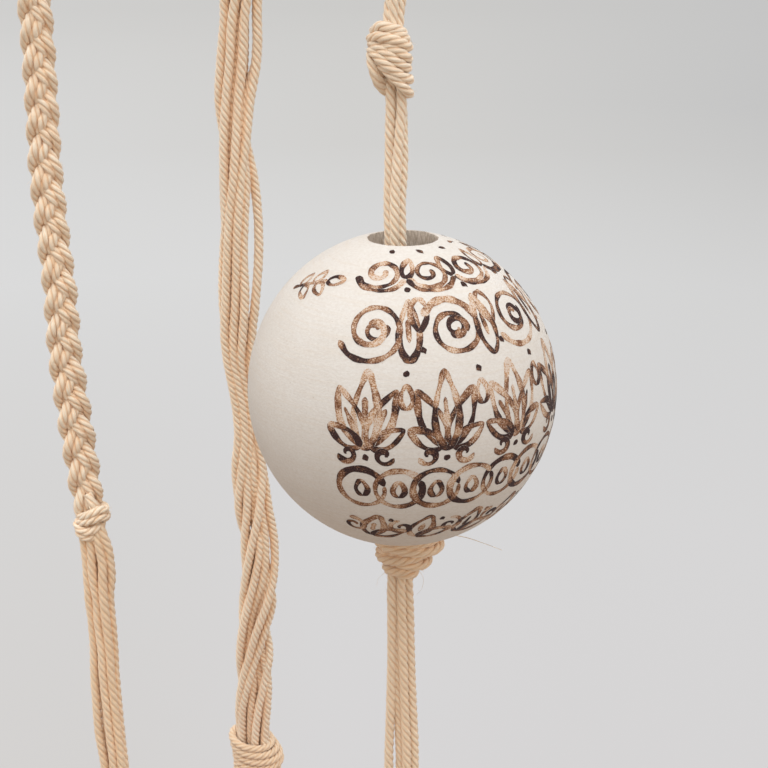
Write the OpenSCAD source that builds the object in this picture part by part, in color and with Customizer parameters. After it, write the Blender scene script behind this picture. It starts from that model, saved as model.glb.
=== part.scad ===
// Hanging macrame planter. Nine cotton cords are folded over a wooden ring, which gives
// eighteen strands. A wrap gathers them, a hoop spreads them into three arms, and the arms
// split again into a net that cradles a pot and ends in a tassel. The left arm is braided,
// the back arm hangs loose and the right arm carries a wooden ball between two knots.
// Origin: the top of the ring's hole, where a hook carries it. +Z is up, the front is -Y.

/* [Cord] */
// Diameter of the cotton cord
cord_d = 3; // [2.6:0.1:3.2]
// Gap between neighbouring strands of a bundle
strand_gap = 0.1; // [0.05:0.05:0.2]
// Clearance between pieces that move on each other
fit = 0.3; // [0.3:0.05:0.5]

/* [Hanging ring] */
// Diameter of the ring's hole
ring_hole_d = 50; // [44:1:70]
// Thickness of the ring's round section
ring_tube_d = 10; // [8:0.5:11]
// Clearance of the folded cords around the ring's section
ring_fit = 0.5; // [0.5:0.05:0.8]

/* [Crown] */
// Height from the ring down to the crown wrap
crown_drop = 14; // [12:1:24]
// Length of the crown wrap
crown_wrap_l = 35; // [20:1:50]

/* [Hoop] */
// Height from the crown wrap down to the hoop
hoop_drop = 81; // [70:1:110]
// Diameter of the hoop at the middle of its section
hoop_d = 120; // [116:1:126]
// Thickness of the hoop's round section
hoop_tube_d = 6; // [4:0.5:8]

/* [Left arm] */
// Height from the hoop down to the start of the braid
braid_drop = 26; // [22:1:34]
// Diameter of each of the braid's three doubled strands
braid_strand_d = 3; // [2.6:0.1:3.1]
// Sideways reach of the braid's strands
braid_reach = 3.4; // [3.3:0.1:4]
// Height of one full period of the braid
braid_period = 24; // [22:1:30]
// Height from the hoop down to the left knot
left_knot_drop = 187; // [150:1:210]
// Diameter of the left knot
left_knot_d = 11; // [10.6:0.2:14]
// Height of the left knot
left_knot_h = 11; // [8:1:16]

/* [Back arm] */
// Distance of the back strands from the middle of their bundle
back_spread = 5.6; // [4.4:0.1:6.2]
// Height from the hoop down to the back wrap
back_wrap_drop = 341; // [325:1:345]
// Length of the back wrap
back_wrap_l = 29; // [20:1:32]

/* [Right arm] */
// Height from the hoop down to the ball's centre
ball_drop = 150; // [130:1:170]
// Diameter of the wooden ball
ball_d = 96; // [70:1:100]
// Height of the ball's full shape, before the bore cuts its ends off
ball_h = 98.5; // [80:0.5:102]
// Diameter of the ball's bore
ball_bore_d = 21.6; // [14:0.2:22]
// Free travel of the ball below the upper knot
ball_play = 39; // [15:1:45]
// Diameter of the knot above the ball
upper_knot_d = 12.8; // [10:0.2:16]
// Height of the knot above the ball
upper_knot_h = 22; // [16:1:26]
// Diameter of the knot that carries the ball
lower_knot_d = 25; // [24:0.5:30]
// Diameter of the foot of that knot
lower_knot_foot_d = 11; // [9:0.5:14]
// Height of the knot that carries the ball
lower_knot_h = 18; // [14:0.5:26]

/* [Cradle] */
// Height from the hoop down to the left and right cradle knots
cradle_knot_drop = 335; // [300:1:340]
// Diameter of the left and right cradle knots
cradle_knot_d = 13; // [11:0.5:15]
// Height of the left and right cradle knots
cradle_knot_h = 16; // [12:1:20]
// Distance between neighbouring strands of the net, measured level
net_pitch = 4.2; // [4:0.1:4.6]
// Height from the pot's rim down to the side knots
side_knot_drop = 60; // [52:1:62]
// Diameter of the side knots
side_knot_d = 13; // [12:0.5:15]
// Height of the side knots
side_knot_h = 14; // [10:1:16]
// Height from the pot's underside down to the base wrap
base_drop = 33; // [26:1:45]
// Length of the base wrap
base_wrap_l = 35; // [20:1:50]

/* [Tassel] */
// Length of the tassel's strands
tassel_l = 155; // [80:5:220]
// How much wider the tassel is at its foot
tassel_flare = 1.9; // [1.2:0.1:2.5]
// Depth of the tassel's pivot below the base wrap
tassel_pivot_drop = 9; // [9:0.5:14]

/* [Pot] */
// Height from the hoop down to the pot's rim
pot_drop = 375; // [373:1:390]
// Outer diameter of the pot's rim
pot_rim_d = 96; // [84:1:97]
// Height of the rim's band
pot_band_h = 14; // [8:1:20]
// Step from the rim's band in to the pot's wall
pot_band_step = 2.5; // [1:0.5:4]
// Outer diameter of the pot's foot
pot_foot_d = 70; // [56:1:74]
// Height of the pot
pot_h = 92; // [86:1:110]
// Clearance between the pot and the net
pot_fit = 0.6; // [0.4:0.1:0.9]
// Thickness of the pot's wall
pot_wall = 4; // [3:0.5:6]
// Thickness of the pot's floor
pot_floor = 5; // [4:0.5:8]
// Rounding of the pot's foot
pot_foot_round = 4; // [3:0.5:6]
// Diameter of the drain hole
drain_d = 10; // [6:1:14]

/* [Hidden] */

CORD = [0.90, 0.80, 0.66];
WOOD = [0.86, 0.82, 0.76];
OAK = [0.74, 0.58, 0.40];
CLAY = [0.72, 0.45, 0.33];

// Facets around a cord, and around everything round and exact.
sides = 8;
$fn = 96;

// Cord measures that the bundles share.
pitch = cord_d + strand_gap;
row_step = pitch * sin(60);

// Ring. It is turned so that the ball's weight lies along the cords' pivot on it.
ring_turn = -25;
ring_r = (ring_hole_d + ring_tube_d) / 2;
ring_z = -ring_hole_d / 2;
ring_tube_z = ring_z - ring_r;

// Heights, from the ring down.
crown_top = ring_tube_z - ring_tube_d / 2 - crown_drop;
crown_foot = crown_top - crown_wrap_l;
hoop_z = crown_foot - hoop_drop;
ball_z = hoop_z - ball_drop;
braid_top = hoop_z - braid_drop;
left_knot_top = hoop_z - left_knot_drop;
left_knot_foot = left_knot_top - left_knot_h;
back_wrap_top = hoop_z - back_wrap_drop;
back_wrap_foot = back_wrap_top - back_wrap_l;
bore_reach = ball_h / 2 * sqrt(1 - pow(ball_bore_d / ball_d, 2));
upper_knot_foot = ball_z + bore_reach + fit + ball_play;
upper_knot_top = upper_knot_foot + upper_knot_h;
lower_knot_top = ball_z - bore_reach - fit;
lower_knot_foot = lower_knot_top - lower_knot_h;
cradle_top = hoop_z - cradle_knot_drop;
cradle_foot = cradle_top - cradle_knot_h;
pot_top = hoop_z - pot_drop;
pot_foot = pot_top - pot_h;
side_knot_top = pot_top - side_knot_drop;
side_knot_foot = side_knot_top - side_knot_h;
base_top = pot_foot - base_drop;
base_foot = base_top - base_wrap_l;

// Arms: left, back, right. Each has an angle, a number of strands and the distance of its
// strands from the middle of the bundle.
LEFT = 0;
BACK = 1;
RIGHT = 2;
arm_angle = [215, 95, 335];
arm_count = [6, 8, 4];
arm_spread = [pitch, back_spread, pitch / sqrt(2)];
arm_r = hoop_d / 2;
// Sideways drift of each arm, as [height above the ball's centre, shift along x].
arm_drift = [
    [[-185, 0], [-140, 5], [-35, 5], [15, 1.5], [70, 1], [112, 2.5], [150, 0]],
    [[-215, -1], [-190, -2.5], [-150, -0.5], [-105, 3], [-55, 1.5], [-15, -2], [35, 1],
        [70, 0.5], [112, 3.5], [150, 0]],
    [[-185, 0], [-140, 0.5], [-66, -0.5], [-47, 0], [47, -2], [88, -2.5], [110, -3.5], [150, 0]]
];

// Places of the strands under the ring, as [column, row], in the order of the hoop.
crown_places = [
    [[-2, -1], [-1.5, -2], [-1, -1], [-0.5, -2], [0, -1], [0.5, -2]],
    [[1.5, 2], [1, 1], [0.5, 2], [0, 1], [-0.5, 2], [-1, 1], [-1.5, 2], [-2, 1]],
    [[1.5, -2], [1, -1], [2, -1], [2, 1]]
];
crown_bundle_r = norm([2 * pitch, pitch / 2]) + cord_d / 2;

// Hitches: each strand takes one turn around the hoop.
hitch_r = hoop_tube_d / 2 + strand_gap + cord_d / 2;
hitch_step = pitch / (arm_r - hitch_r) * 180 / PI;
hitch_reach = hitch_r + cord_d / 2;

// Pot profile and the net around it.
pot_neck_r = pot_rim_d / 2 - pot_band_step;
pot_band_foot = pot_top - pot_band_h;
side_knot_r = pot_r(side_knot_top) + pot_fit + side_knot_d / 2;
// Angle, from level, at which the strands leave the pot's rounded foot.
foot_leave = -45;
// Straight lead of a strand out of a knot.
knot_lead = 3;
// Bundle under the pot: six trios, each one inner and two outer strands.
base_outer_r = 2 * pitch * cos(15);
base_bundle_r = base_outer_r + cord_d / 2;
base_turn = 5;

function lerp(a, b, s) = a + (b - a) * s;
function unit(v) = v / norm(v);
function polar(r, a, z) = [r * cos(a), r * sin(a), z];
function pot_r(z) = z > pot_band_foot
    ? pot_rim_d / 2
    : lerp(pot_neck_r, pot_foot_d / 2, (pot_band_foot - z) / (pot_band_foot - pot_foot));

// Closed tube along a route. The side vector is never parallel to the route.
function heading(route, i) =
    unit(route[min(i + 1, len(route) - 1)] - route[max(i - 1, 0)]);
function ring_at(centre, along, side, d) =
    let (u = unit(cross(side, along)), v = cross(along, u))
    [for (k = [0:sides - 1])
        centre + d / 2 * (cos(360 * k / sides) * u + sin(360 * k / sides) * v)];
module tube(route, d = cord_d, side = [0, 1, 0]) {
    last = len(route) - 1;
    points = [for (i = [0:last]) each ring_at(route[i], heading(route, i), side, d)];
    walls = [for (i = [0:last - 1], k = [0:sides - 1])
        let (a = i * sides + k, b = i * sides + (k + 1) % sides)
        each [[a, a + sides, b + sides], [a, b + sides, b]]];
    caps = [[for (k = [0:sides - 1]) k], [for (k = [sides - 1:-1:0]) last * sides + k]];
    polyhedron(points, concat(caps, walls), convexity = 4);
}

// Place of a strand in its arm's bundle, around the arm's middle, and its point at a height.
function arm_turn(arm, k) =
    180 + (k % 2 == 1 ? -1 : 1) * 360 / arm_count[arm] * ceil(k / 2);
function arm_centre(arm, z) =
    polar(arm_r, arm_angle[arm], z) + [lookup(z - ball_z, arm_drift[arm]), 0, 0];
function strand_at(arm, k, z) =
    arm_centre(arm, z) + polar(arm_spread[arm], arm_angle[arm] + 90 + arm_turn(arm, k), 0);
function strand_route(arm, k, top, foot, steps) =
    [for (i = [0:steps]) strand_at(arm, k, lerp(top, foot, i / steps))];
function hitch_angle(arm, k) = arm_angle[arm] + (k - (arm_count[arm] - 1) / 2) * hitch_step;

// Wrap: turns of cord side by side around a bundle.
module wrap(top, length, inner_r) {
    turns = ceil(length / cord_d);
    turn_h = length / turns;
    rotate_extrude() {
        translate([inner_r, top - length + turn_h / 2]) square([cord_d / 2, length - turn_h]);
        for (i = [0:turns - 1])
            translate([inner_r + cord_d / 2, top - turn_h * (i + 0.5)]) circle(d = cord_d);
    }
}

// Knot: a few fat turns around a solid core, which carries the strands above and below it.
module knot(top, h, d, foot_d, turns) {
    turn_h = h / turns;
    turn_r = turn_h / 2;
    groove = turn_r * (1 - cos(80));
    bulges = [for (i = [0:turns - 1], a = [80:-32:-80])
        [
            lerp(d, foot_d, i / max(turns - 1, 1)) / 2 - turn_r * (1 - cos(a)),
            top - turn_h * (i + 0.5) + turn_r * 0.97 * sin(a)
        ]];
    rotate_extrude() polygon(concat(
        [[0, top], [d / 2 - groove, top]],
        bulges,
        [[foot_d / 2 - groove, top - h], [0, top - h]]
    ));
}

module hanging_ring() {
    color(OAK) translate([0, 0, ring_z]) rotate([90, 0, ring_turn])
        rotate_extrude() translate([ring_r, 0]) circle(d = ring_tube_d);
}

// One cord folded over the ring, in the plane of its column.
module folded_cord(column, row) {
    x = column * pitch;
    y = pitch / 2 + (row - 1) * row_step;
    bend = ring_tube_d / 2 + ring_fit + cord_d / 2 + (row - 1) * row_step;
    z = ring_z - sqrt(pow(ring_r, 2) - pow(x, 2));
    leg_z = z - ring_tube_d * 0.4;
    over = [for (a = [180:-22.5:0]) [x, bend * cos(a), z + bend * sin(a)]];
    tube(concat(
        [[x, -y, crown_top], [x, -y, crown_top + knot_lead], [x, -bend, leg_z]],
        over,
        [[x, bend, leg_z], [x, y, crown_top + knot_lead], [x, y, crown_top]]
    ), side = [1, 0, 0]);
}
module crown_loops() {
    color(CORD) rotate([0, 0, ring_turn]) {
        for (column = [-2:2]) folded_cord(column, 1);
        for (column = [-1.5:1.5]) folded_cord(column, 2);
    }
}

module crown_wrap() {
    color(CORD) wrap(crown_top, crown_wrap_l, crown_bundle_r + strand_gap);
}

// Strands of one arm, through the crown wrap and out to the top of the hoop.
module crown_strands(arm) {
    for (k = [0:arm_count[arm] - 1]) {
        place = crown_places[arm][k];
        row_y = sign(place[1]) * (pitch / 2 + (abs(place[1]) - 1) * row_step);
        place_r = norm([place[0] * pitch, row_y]);
        place_turn = atan2(row_y, place[0] * pitch) + ring_turn;
        hoop_top = hoop_z + hitch_reach;
        out = hitch_angle(arm, k);
        tube([
            polar(place_r, place_turn, crown_top),
            polar(place_r, place_turn, crown_foot),
            polar(place_r * 1.25, place_turn, crown_foot - 2 * cord_d),
            polar(arm_r, out, hoop_top + 2 * cord_d),
            polar(arm_r, out, hoop_top)
        ]);
    }
}
module crown_left_strands() {
    color(CORD) crown_strands(LEFT);
}
module crown_back_strands() {
    color(CORD) crown_strands(BACK);
}
module crown_right_strands() {
    color(CORD) crown_strands(RIGHT);
}

module spreader_hoop() {
    color(OAK) translate([0, 0, hoop_z])
        rotate_extrude() translate([arm_r, 0]) circle(d = hoop_tube_d);
}

module hitches(arm) {
    for (k = [0:arm_count[arm] - 1])
        rotate([0, 0, hitch_angle(arm, k)]) translate([arm_r, 0, hoop_z]) rotate([90, 0, 0])
            rotate_extrude() translate([hitch_r, 0]) circle(d = cord_d);
}
module left_hitches() {
    color(CORD) hitches(LEFT);
}
module back_hitches() {
    color(CORD) hitches(BACK);
}
module right_hitches() {
    color(CORD) hitches(RIGHT);
}

// Route of a strand from its hitch down into its arm's bundle.
function gather_route(arm, k, foot) =
    let (top = hoop_z - hitch_reach)
    [
        polar(arm_r, hitch_angle(arm, k), top),
        polar(arm_r, hitch_angle(arm, k), top - cord_d),
        strand_at(arm, k, foot + cord_d),
        strand_at(arm, k, foot)
    ];

module left_upper_strands() {
    color(CORD) for (k = [0:arm_count[LEFT] - 1]) tube(gather_route(LEFT, k, braid_top));
}

// Braid: three doubled strands that pass over each other in turn.
module left_braid() {
    top = braid_top - cord_d;
    height = top - left_knot_top - cord_d;
    steps = ceil(height / (braid_period / 5));
    color(CORD) for (k = [0:2]) {
        crossing = [for (i = [0:steps])
            let (z = top - height * i / steps, turn = 360 * ((top - z) / braid_period + k / 3))
            arm_centre(LEFT, z)
                + [braid_reach * sin(turn), braid_strand_d * 0.72 * sin(2 * turn), 0]];
        level_end = [0, 0, cord_d - strand_gap];
        tube(concat([crossing[0] + level_end], crossing, [crossing[steps] - level_end]),
            braid_strand_d);
    }
}

module left_knot() {
    color(CORD) translate(arm_centre(LEFT, left_knot_top) - [0, 0, left_knot_top])
        knot(left_knot_top, left_knot_h, left_knot_d, left_knot_d, 2);
}

module left_lower_strands() {
    color(CORD) for (k = [0:arm_count[LEFT] - 1])
        tube(strand_route(LEFT, k, left_knot_foot, cradle_top, 7));
}

module back_strands() {
    gathered = hoop_z - 32;
    color(CORD) for (k = [0:arm_count[BACK] - 1])
        tube(concat(
            gather_route(BACK, k, gathered),
            strand_route(BACK, k, gathered - 8, back_wrap_foot, 16)
        ));
}

module back_wrap() {
    middle = arm_centre(BACK, (back_wrap_top + back_wrap_foot) / 2);
    color(CORD) translate([middle[0], middle[1], 0])
        wrap(back_wrap_top, back_wrap_l, back_spread + cord_d / 2 + 0.7);
}

module right_upper_strands() {
    color(CORD) for (k = [0:arm_count[RIGHT] - 1])
        tube(gather_route(RIGHT, k, upper_knot_top));
}

module upper_ball_knot() {
    color(CORD) translate(arm_centre(RIGHT, upper_knot_foot) - [0, 0, upper_knot_foot])
        knot(upper_knot_top, upper_knot_h, upper_knot_d, upper_knot_d, 3);
}

module ball_strands() {
    color(CORD) for (k = [0:arm_count[RIGHT] - 1])
        tube(strand_route(RIGHT, k, upper_knot_foot, lower_knot_top, 6));
}

// The ball is a little taller than it is wide.
module wooden_ball() {
    outline = [for (a = [-90:4.5:90]) [ball_d / 2 * cos(a), ball_h / 2 * sin(a)]];
    color(WOOD) translate(polar(arm_r, arm_angle[RIGHT], ball_z)) difference() {
        rotate_extrude() polygon(outline);
        cylinder(d = ball_bore_d, h = ball_h + 2, center = true);
    }
}

module lower_ball_knot() {
    color(CORD) translate(arm_centre(RIGHT, lower_knot_top) - [0, 0, lower_knot_top])
        knot(lower_knot_top, lower_knot_h, lower_knot_d, lower_knot_foot_d, 4);
}

module right_lower_strands() {
    color(CORD) for (k = [0:arm_count[RIGHT] - 1])
        tube(strand_route(RIGHT, k, lower_knot_foot, cradle_top, 7));
}

module cradle_knot(arm) {
    translate(arm_centre(arm, cradle_top) - [0, 0, cradle_top])
        knot(cradle_top, cradle_knot_h, cradle_knot_d, cradle_knot_d, 3);
}
module left_cradle_knot() {
    color(CORD) cradle_knot(LEFT);
}
module right_cradle_knot() {
    color(CORD) cradle_knot(RIGHT);
}

// Net: half of each arm's strands run to the side knot before it and half to the one after
// it. They lie two deep, in columns side by side.
function columns(arm) = ceil(arm_count[arm] / 4);
function neighbour(arm, way) =
    arm == LEFT ? (way > 0 ? RIGHT : BACK)
    : arm == BACK ? (way > 0 ? LEFT : RIGHT)
    : (way > 0 ? BACK : LEFT);
function net_point(arm, way, i, s, top, foot) =
    let (
        column = floor(i / 2),
        beside = columns(arm) + columns(neighbour(arm, way)) - 1,
        start = way * (0.5 + column) * net_pitch,
        end = way * (column - beside / 2) * net_pitch,
        r = lerp(arm_r, side_knot_r, s)
    )
    polar(
        r + (i % 2 - 0.5) * pitch,
        arm_angle[arm] + way * 60 * s + lerp(start, end, s) / r * 180 / PI,
        lerp(top, foot, s)
    );
module net_strands(arm, top) {
    for (way = [-1, 1], i = [0:arm_count[arm] / 2 - 1])
        tube(concat(
            [net_point(arm, way, i, 0, top, side_knot_top)],
            [for (s = [0:0.125:1])
                net_point(arm, way, i, s, top - knot_lead, side_knot_top + knot_lead)],
            [net_point(arm, way, i, 1, top, side_knot_top)]
        ));
}
module left_net_strands() {
    color(CORD) net_strands(LEFT, cradle_foot);
}
module back_net_strands() {
    color(CORD) net_strands(BACK, back_wrap_foot);
}
module right_net_strands() {
    color(CORD) net_strands(RIGHT, cradle_foot);
}

// The side knot that comes after an arm, counted counterclockwise.
module side_knot(arm) {
    middle = polar(side_knot_r, arm_angle[arm] + 60, 0);
    translate(middle) knot(side_knot_top, side_knot_h, side_knot_d, side_knot_d, 3);
}
module back_right_side_knot() {
    color(CORD) side_knot(RIGHT);
}
module left_back_side_knot() {
    color(CORD) side_knot(BACK);
}
module front_side_knot() {
    color(CORD) side_knot(LEFT);
}

// Strands from the side knots, around the pot's foot and into the base wrap.
function base_place(k, z) =
    let (trio = floor(k / 3), part = k % 3 - 1)
    polar(part == 0 ? pitch : base_outer_r, base_turn + 60 * trio + 15 * part, z);
function side_columns(arm, way_arm) =
    concat(
        [for (i = [0:arm_count[arm] / 2 - 1]) [floor(i / 2), i % 2]],
        [for (i = [0:arm_count[way_arm] / 2 - 1]) [columns(arm) + floor(i / 2), i % 2]]
    );
module under_strand(angle, column, beside, layer, k) {
    offset = (column - beside / 2) * net_pitch;
    round_r = pot_foot_round + pot_fit + cord_d / 2 + layer * pitch;
    middle_r = pot_foot_d / 2 - pot_foot_round;
    start_r = side_knot_r + (layer - 0.5) * pitch;
    start_turn = angle + offset / side_knot_r * 180 / PI;
    bend = [for (a = [0:foot_leave / 3:foot_leave])
        let (r = middle_r + round_r * cos(a))
        polar(r, angle + offset / r * 180 / PI, pot_foot + pot_foot_round + round_r * sin(a))];
    tube(concat(
        [polar(start_r, start_turn, side_knot_foot),
            polar(start_r, start_turn, side_knot_foot - knot_lead)],
        bend,
        [base_place(k, base_top + knot_lead), base_place(k, base_top), base_place(k, base_foot)]
    ));
}
module under_pot_strands() {
    order = [RIGHT, BACK, LEFT];
    after = [BACK, LEFT, RIGHT];
    counts = [for (j = [0:2]) (arm_count[order[j]] + arm_count[after[j]]) / 2];
    first = [0, counts[0], counts[0] + counts[1]];
    color(CORD) for (j = [0:2]) {
        places = side_columns(order[j], after[j]);
        beside = columns(order[j]) + columns(after[j]) - 1;
        for (i = [0:len(places) - 1])
            under_strand(arm_angle[order[j]] + 60, places[i][0], beside, places[i][1],
                first[j] + i);
    }
}

module base_wrap() {
    color(CORD) wrap(base_top, base_wrap_l, base_bundle_r + strand_gap);
}

// Tassel: the strands' loose ends. Their tops lie on a round that clears the base wrap as
// the tassel swings.
module tassel_strands() {
    pivot = base_foot - tassel_pivot_drop;
    color(CORD) for (k = [0:17]) {
        place = base_place(k, 0);
        edge = min(abs(place[1]) + cord_d / 2, tassel_pivot_drop - fit);
        top = pivot + sqrt(pow(tassel_pivot_drop - fit, 2) - pow(edge, 2));
        foot = base_foot - tassel_l;
        tube([for (s = [0:0.2:1])
            let (wide = lerp(1, tassel_flare, pow(s, 1.5)))
            [place[0] * wide, place[1] * wide, lerp(top, foot, s)]]);
    }
}

module pot() {
    inner_foot_r = pot_foot_d / 2 - pot_wall;
    inner_top_r = pot_rim_d / 2 - pot_wall;
    color(CLAY) difference() {
        rotate_extrude() {
            polygon([
                [0, pot_foot],
                [pot_foot_d / 2 - pot_foot_round, pot_foot],
                [pot_r(pot_foot + pot_foot_round), pot_foot + pot_foot_round],
                [pot_neck_r, pot_band_foot],
                [pot_rim_d / 2, pot_band_foot],
                [pot_rim_d / 2, pot_top],
                [0, pot_top]
            ]);
            translate([pot_foot_d / 2 - pot_foot_round, pot_foot + pot_foot_round])
                circle(r = pot_foot_round);
        }
        rotate_extrude() polygon([
            [0, pot_foot + pot_floor],
            [inner_foot_r, pot_foot + pot_floor],
            [inner_top_r, pot_top + 1],
            [0, pot_top + 1]
        ]);
        translate([0, 0, pot_foot - 1]) cylinder(d = drain_d, h = pot_floor + 2);
    }
}

hanging_ring();
crown_loops();
crown_wrap();
crown_left_strands();
crown_back_strands();
crown_right_strands();
spreader_hoop();
left_hitches();
back_hitches();
right_hitches();
left_upper_strands();
left_braid();
left_knot();
left_lower_strands();
back_strands();
back_wrap();
right_upper_strands();
upper_ball_knot();
ball_strands();
wooden_ball();
lower_ball_knot();
right_lower_strands();
left_cradle_knot();
right_cradle_knot();
left_net_strands();
back_net_strands();
right_net_strands();
back_right_side_knot();
left_back_side_knot();
front_side_knot();
under_pot_strands();
base_wrap();
tassel_strands();
pot();
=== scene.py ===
"""Hanging macrame planter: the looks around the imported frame.

Routes and meshes are worked out in millimetres and written to Blender in metres. Heights in
the arms are counted from the wooden ball's centre, as they are in the part's source.
"""

import math

import bpy
import numpy as np
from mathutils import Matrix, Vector


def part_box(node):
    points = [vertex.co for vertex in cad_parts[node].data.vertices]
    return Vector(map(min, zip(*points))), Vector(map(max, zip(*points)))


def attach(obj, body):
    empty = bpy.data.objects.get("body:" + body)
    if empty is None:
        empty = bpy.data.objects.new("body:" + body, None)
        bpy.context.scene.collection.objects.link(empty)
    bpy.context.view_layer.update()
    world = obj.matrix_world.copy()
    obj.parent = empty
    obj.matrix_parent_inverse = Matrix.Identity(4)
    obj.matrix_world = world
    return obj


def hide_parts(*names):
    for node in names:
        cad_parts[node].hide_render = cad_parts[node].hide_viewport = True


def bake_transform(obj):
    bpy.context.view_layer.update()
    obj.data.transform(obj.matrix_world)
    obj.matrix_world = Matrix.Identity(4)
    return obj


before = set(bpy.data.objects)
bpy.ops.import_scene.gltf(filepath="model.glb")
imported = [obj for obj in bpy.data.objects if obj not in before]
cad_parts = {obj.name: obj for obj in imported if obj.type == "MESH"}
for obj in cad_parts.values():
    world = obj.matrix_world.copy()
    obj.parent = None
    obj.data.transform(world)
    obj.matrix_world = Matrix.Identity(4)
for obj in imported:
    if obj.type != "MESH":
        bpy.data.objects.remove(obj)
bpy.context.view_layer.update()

MM = 0.001
rng = np.random.default_rng(7)


# ----- places from the frame
def node_box(node):
    low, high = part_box(node)
    return np.array(low) / MM, np.array(high) / MM


def middle_of(node):
    low, high = node_box(node)
    return (low + high) / 2


def size_of(node):
    low, high = node_box(node)
    return high - low


def ends_of(node):
    """The heights of a node's top and foot."""
    low, high = node_box(node)
    return high[2], low[2]


def above_ball(z):
    return z - BALL[2]


CORD_D = 3.1
PITCH = 3.1
ROW_RISE = PITCH * math.sin(math.radians(60))
RING_TURN = -25
RING_R, RING_TUBE = 30, 10
RING_Z = middle_of("hanging_ring")[2]
CROWN_TOP, CROWN_FOOT = ends_of("crown_wrap")
HOOP_Z = middle_of("spreader_hoop")[2]
HOOP_D, _, HOOP_TUBE = size_of("spreader_hoop")
ARM_R = (HOOP_D - HOOP_TUBE) / 2
BALL = middle_of("wooden_ball")
BALL_SPHERE_R, _, BALL_R = size_of("wooden_ball") / 2
BORE_R = 10.8
BALL_TALL = BALL_R / math.sqrt(1 - (BORE_R / BALL_SPHERE_R) ** 2)
POT_TOP, POT_FOOT = ends_of("pot")
BASE_TOP, BASE_FOOT = ends_of("base_wrap")
CRADLE_TOP, CRADLE_FOOT = ends_of("left_cradle_knot")
SIDE_TOP, SIDE_FOOT = ends_of("front_side_knot")
BACK_WRAP_TOP, BACK_WRAP_FOOT = ends_of("back_wrap")
BRAID_TOP_H, BRAID_FOOT_H = (above_ball(z) for z in ends_of("left_braid"))
ARMS_END_H = above_ball(CRADLE_TOP) - 4

ARM_ANGLE = {"left": 215, "back": 95, "right": 335}
ARM_COUNT = {"left": 6, "back": 8, "right": 4}
# Sideways shift of each arm's middle, as (height above the ball's centre, shift along X).
ARM_SHIFT = {
    "left": ((-185, 0.5), (-135, 5), (-101, 4.8), (-85, 5.4), (-47, 5.2), (-31, 4.3), (-17, 3.4), (0, 2.4),
             (15, 1.6), (36, 2), (54, 1.3), (72, 1.1), (89, 1.9), (116, 2.6), (150, 0)),
    "back": ((-215, -1), (-200, -2.2), (-184, -2.4), (-164, -1.5), (-144, -0.3), (-125, 1.4), (-106, 3),
             (-79, 0.9), (-57, 1.7), (-36, 0.1), (-16, -2.1), (4, -1.3), (33, 1.1), (57, 0.7), (78, 1.2),
             (96, 2.8), (112, 3.5), (150, 0)),
    "right": ((-185, 0), (-142, 0.7), (-123, 0.6), (-107, 0.2), (-76, -0.6), (-66, -0.7), (-54, 0.6),
              (-47, 0), (47, -1.7), (59, -2.4), (88, -2.3), (100, -3.6), (110, -3.9), (118, -3.1), (150, 0)),
}


def cosd(degrees):
    return math.cos(math.radians(degrees))


def sind(degrees):
    return math.sin(math.radians(degrees))


def polar(r, degrees, z):
    return np.array([r * cosd(degrees), r * sind(degrees), z])


def table(pairs, x):
    xs, ys = zip(*pairs)
    return float(np.interp(x, xs, ys))


def arm_middle(arm, h):
    """The middle of an arm's bundle at a height above the ball's centre."""
    return polar(ARM_R, ARM_ANGLE[arm], BALL[2] + h) + [table(ARM_SHIFT[arm], h), 0, 0]


def in_arm(arm, side, h, depth):
    """A place in an arm, sideways and towards the front from the arm's middle at a height."""
    return arm_middle(arm, h) + [side, -depth, 0]


def arm_route(arm, places):
    return [in_arm(arm, *place) for place in places]


def table_routes(arm, heights, routes, end=None, narrow=1):
    """Routes from each cord's sideways and frontward places at the heights. They may run on to
    an end, where the bundle is narrower."""
    for sides, depths in routes:
        route = arm_route(arm, zip(sides, heights, depths))
        if end is not None:
            route.append(in_arm(arm, sides[-1] * narrow, end, depths[-1] * narrow))
        yield route


# ----- meshes
PLIES = 4
LAY = 12.0
PLY_HALF = 180 / PLIES
PLY_PLACES = np.array([-45.0, -36.0, -20.0, 0.0, 20.0, 36.0])
GROOVE_DEPTH = 0.27
# The order of a quad's corners that turns it over.
INSIDE_OUT = [0, 3, 2, 1]


def lengths(rows):
    return np.linalg.norm(rows, axis=-1)


def joined(*parts):
    """Vectors from values that fit on one grid."""
    return np.stack(np.broadcast_arrays(*parts), -1)


def curve(points, step):
    """Points about a step apart on a smooth curve through the given ones."""
    p = np.array(points, float)
    gap = lengths(np.diff(p, axis=0))
    p, gap = p[np.concatenate([[True], gap > 1e-6])], gap[gap > 1e-6]
    slope = np.diff(p, axis=0) / gap[:, None]
    w = (gap[1:] / (gap[1:] + gap[:-1]))[:, None]
    m = np.vstack([slope[:1], slope[:-1] * w + slope[1:] * (1 - w), slope[-1:]])
    rows = []
    for i, d in enumerate(gap):
        t = np.linspace(0, 1, max(3, int(d / step * 2)), endpoint=False)[:, None]
        rows.append((2 * t**3 - 3 * t**2 + 1) * p[i] + (t**3 - 2 * t**2 + t) * d * m[i]
                    + (3 * t**2 - 2 * t**3) * p[i + 1] + (t**3 - t**2) * d * m[i + 1])
    fine = np.vstack(rows + [p[-1:]])
    s = np.concatenate([[0], np.cumsum(lengths(np.diff(fine, axis=0)))])
    at = np.linspace(0, s[-1], max(4, int(round(s[-1] / step)) + 1))
    return np.stack([np.interp(at, s, fine[:, k]) for k in range(3)], 1), at


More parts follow.
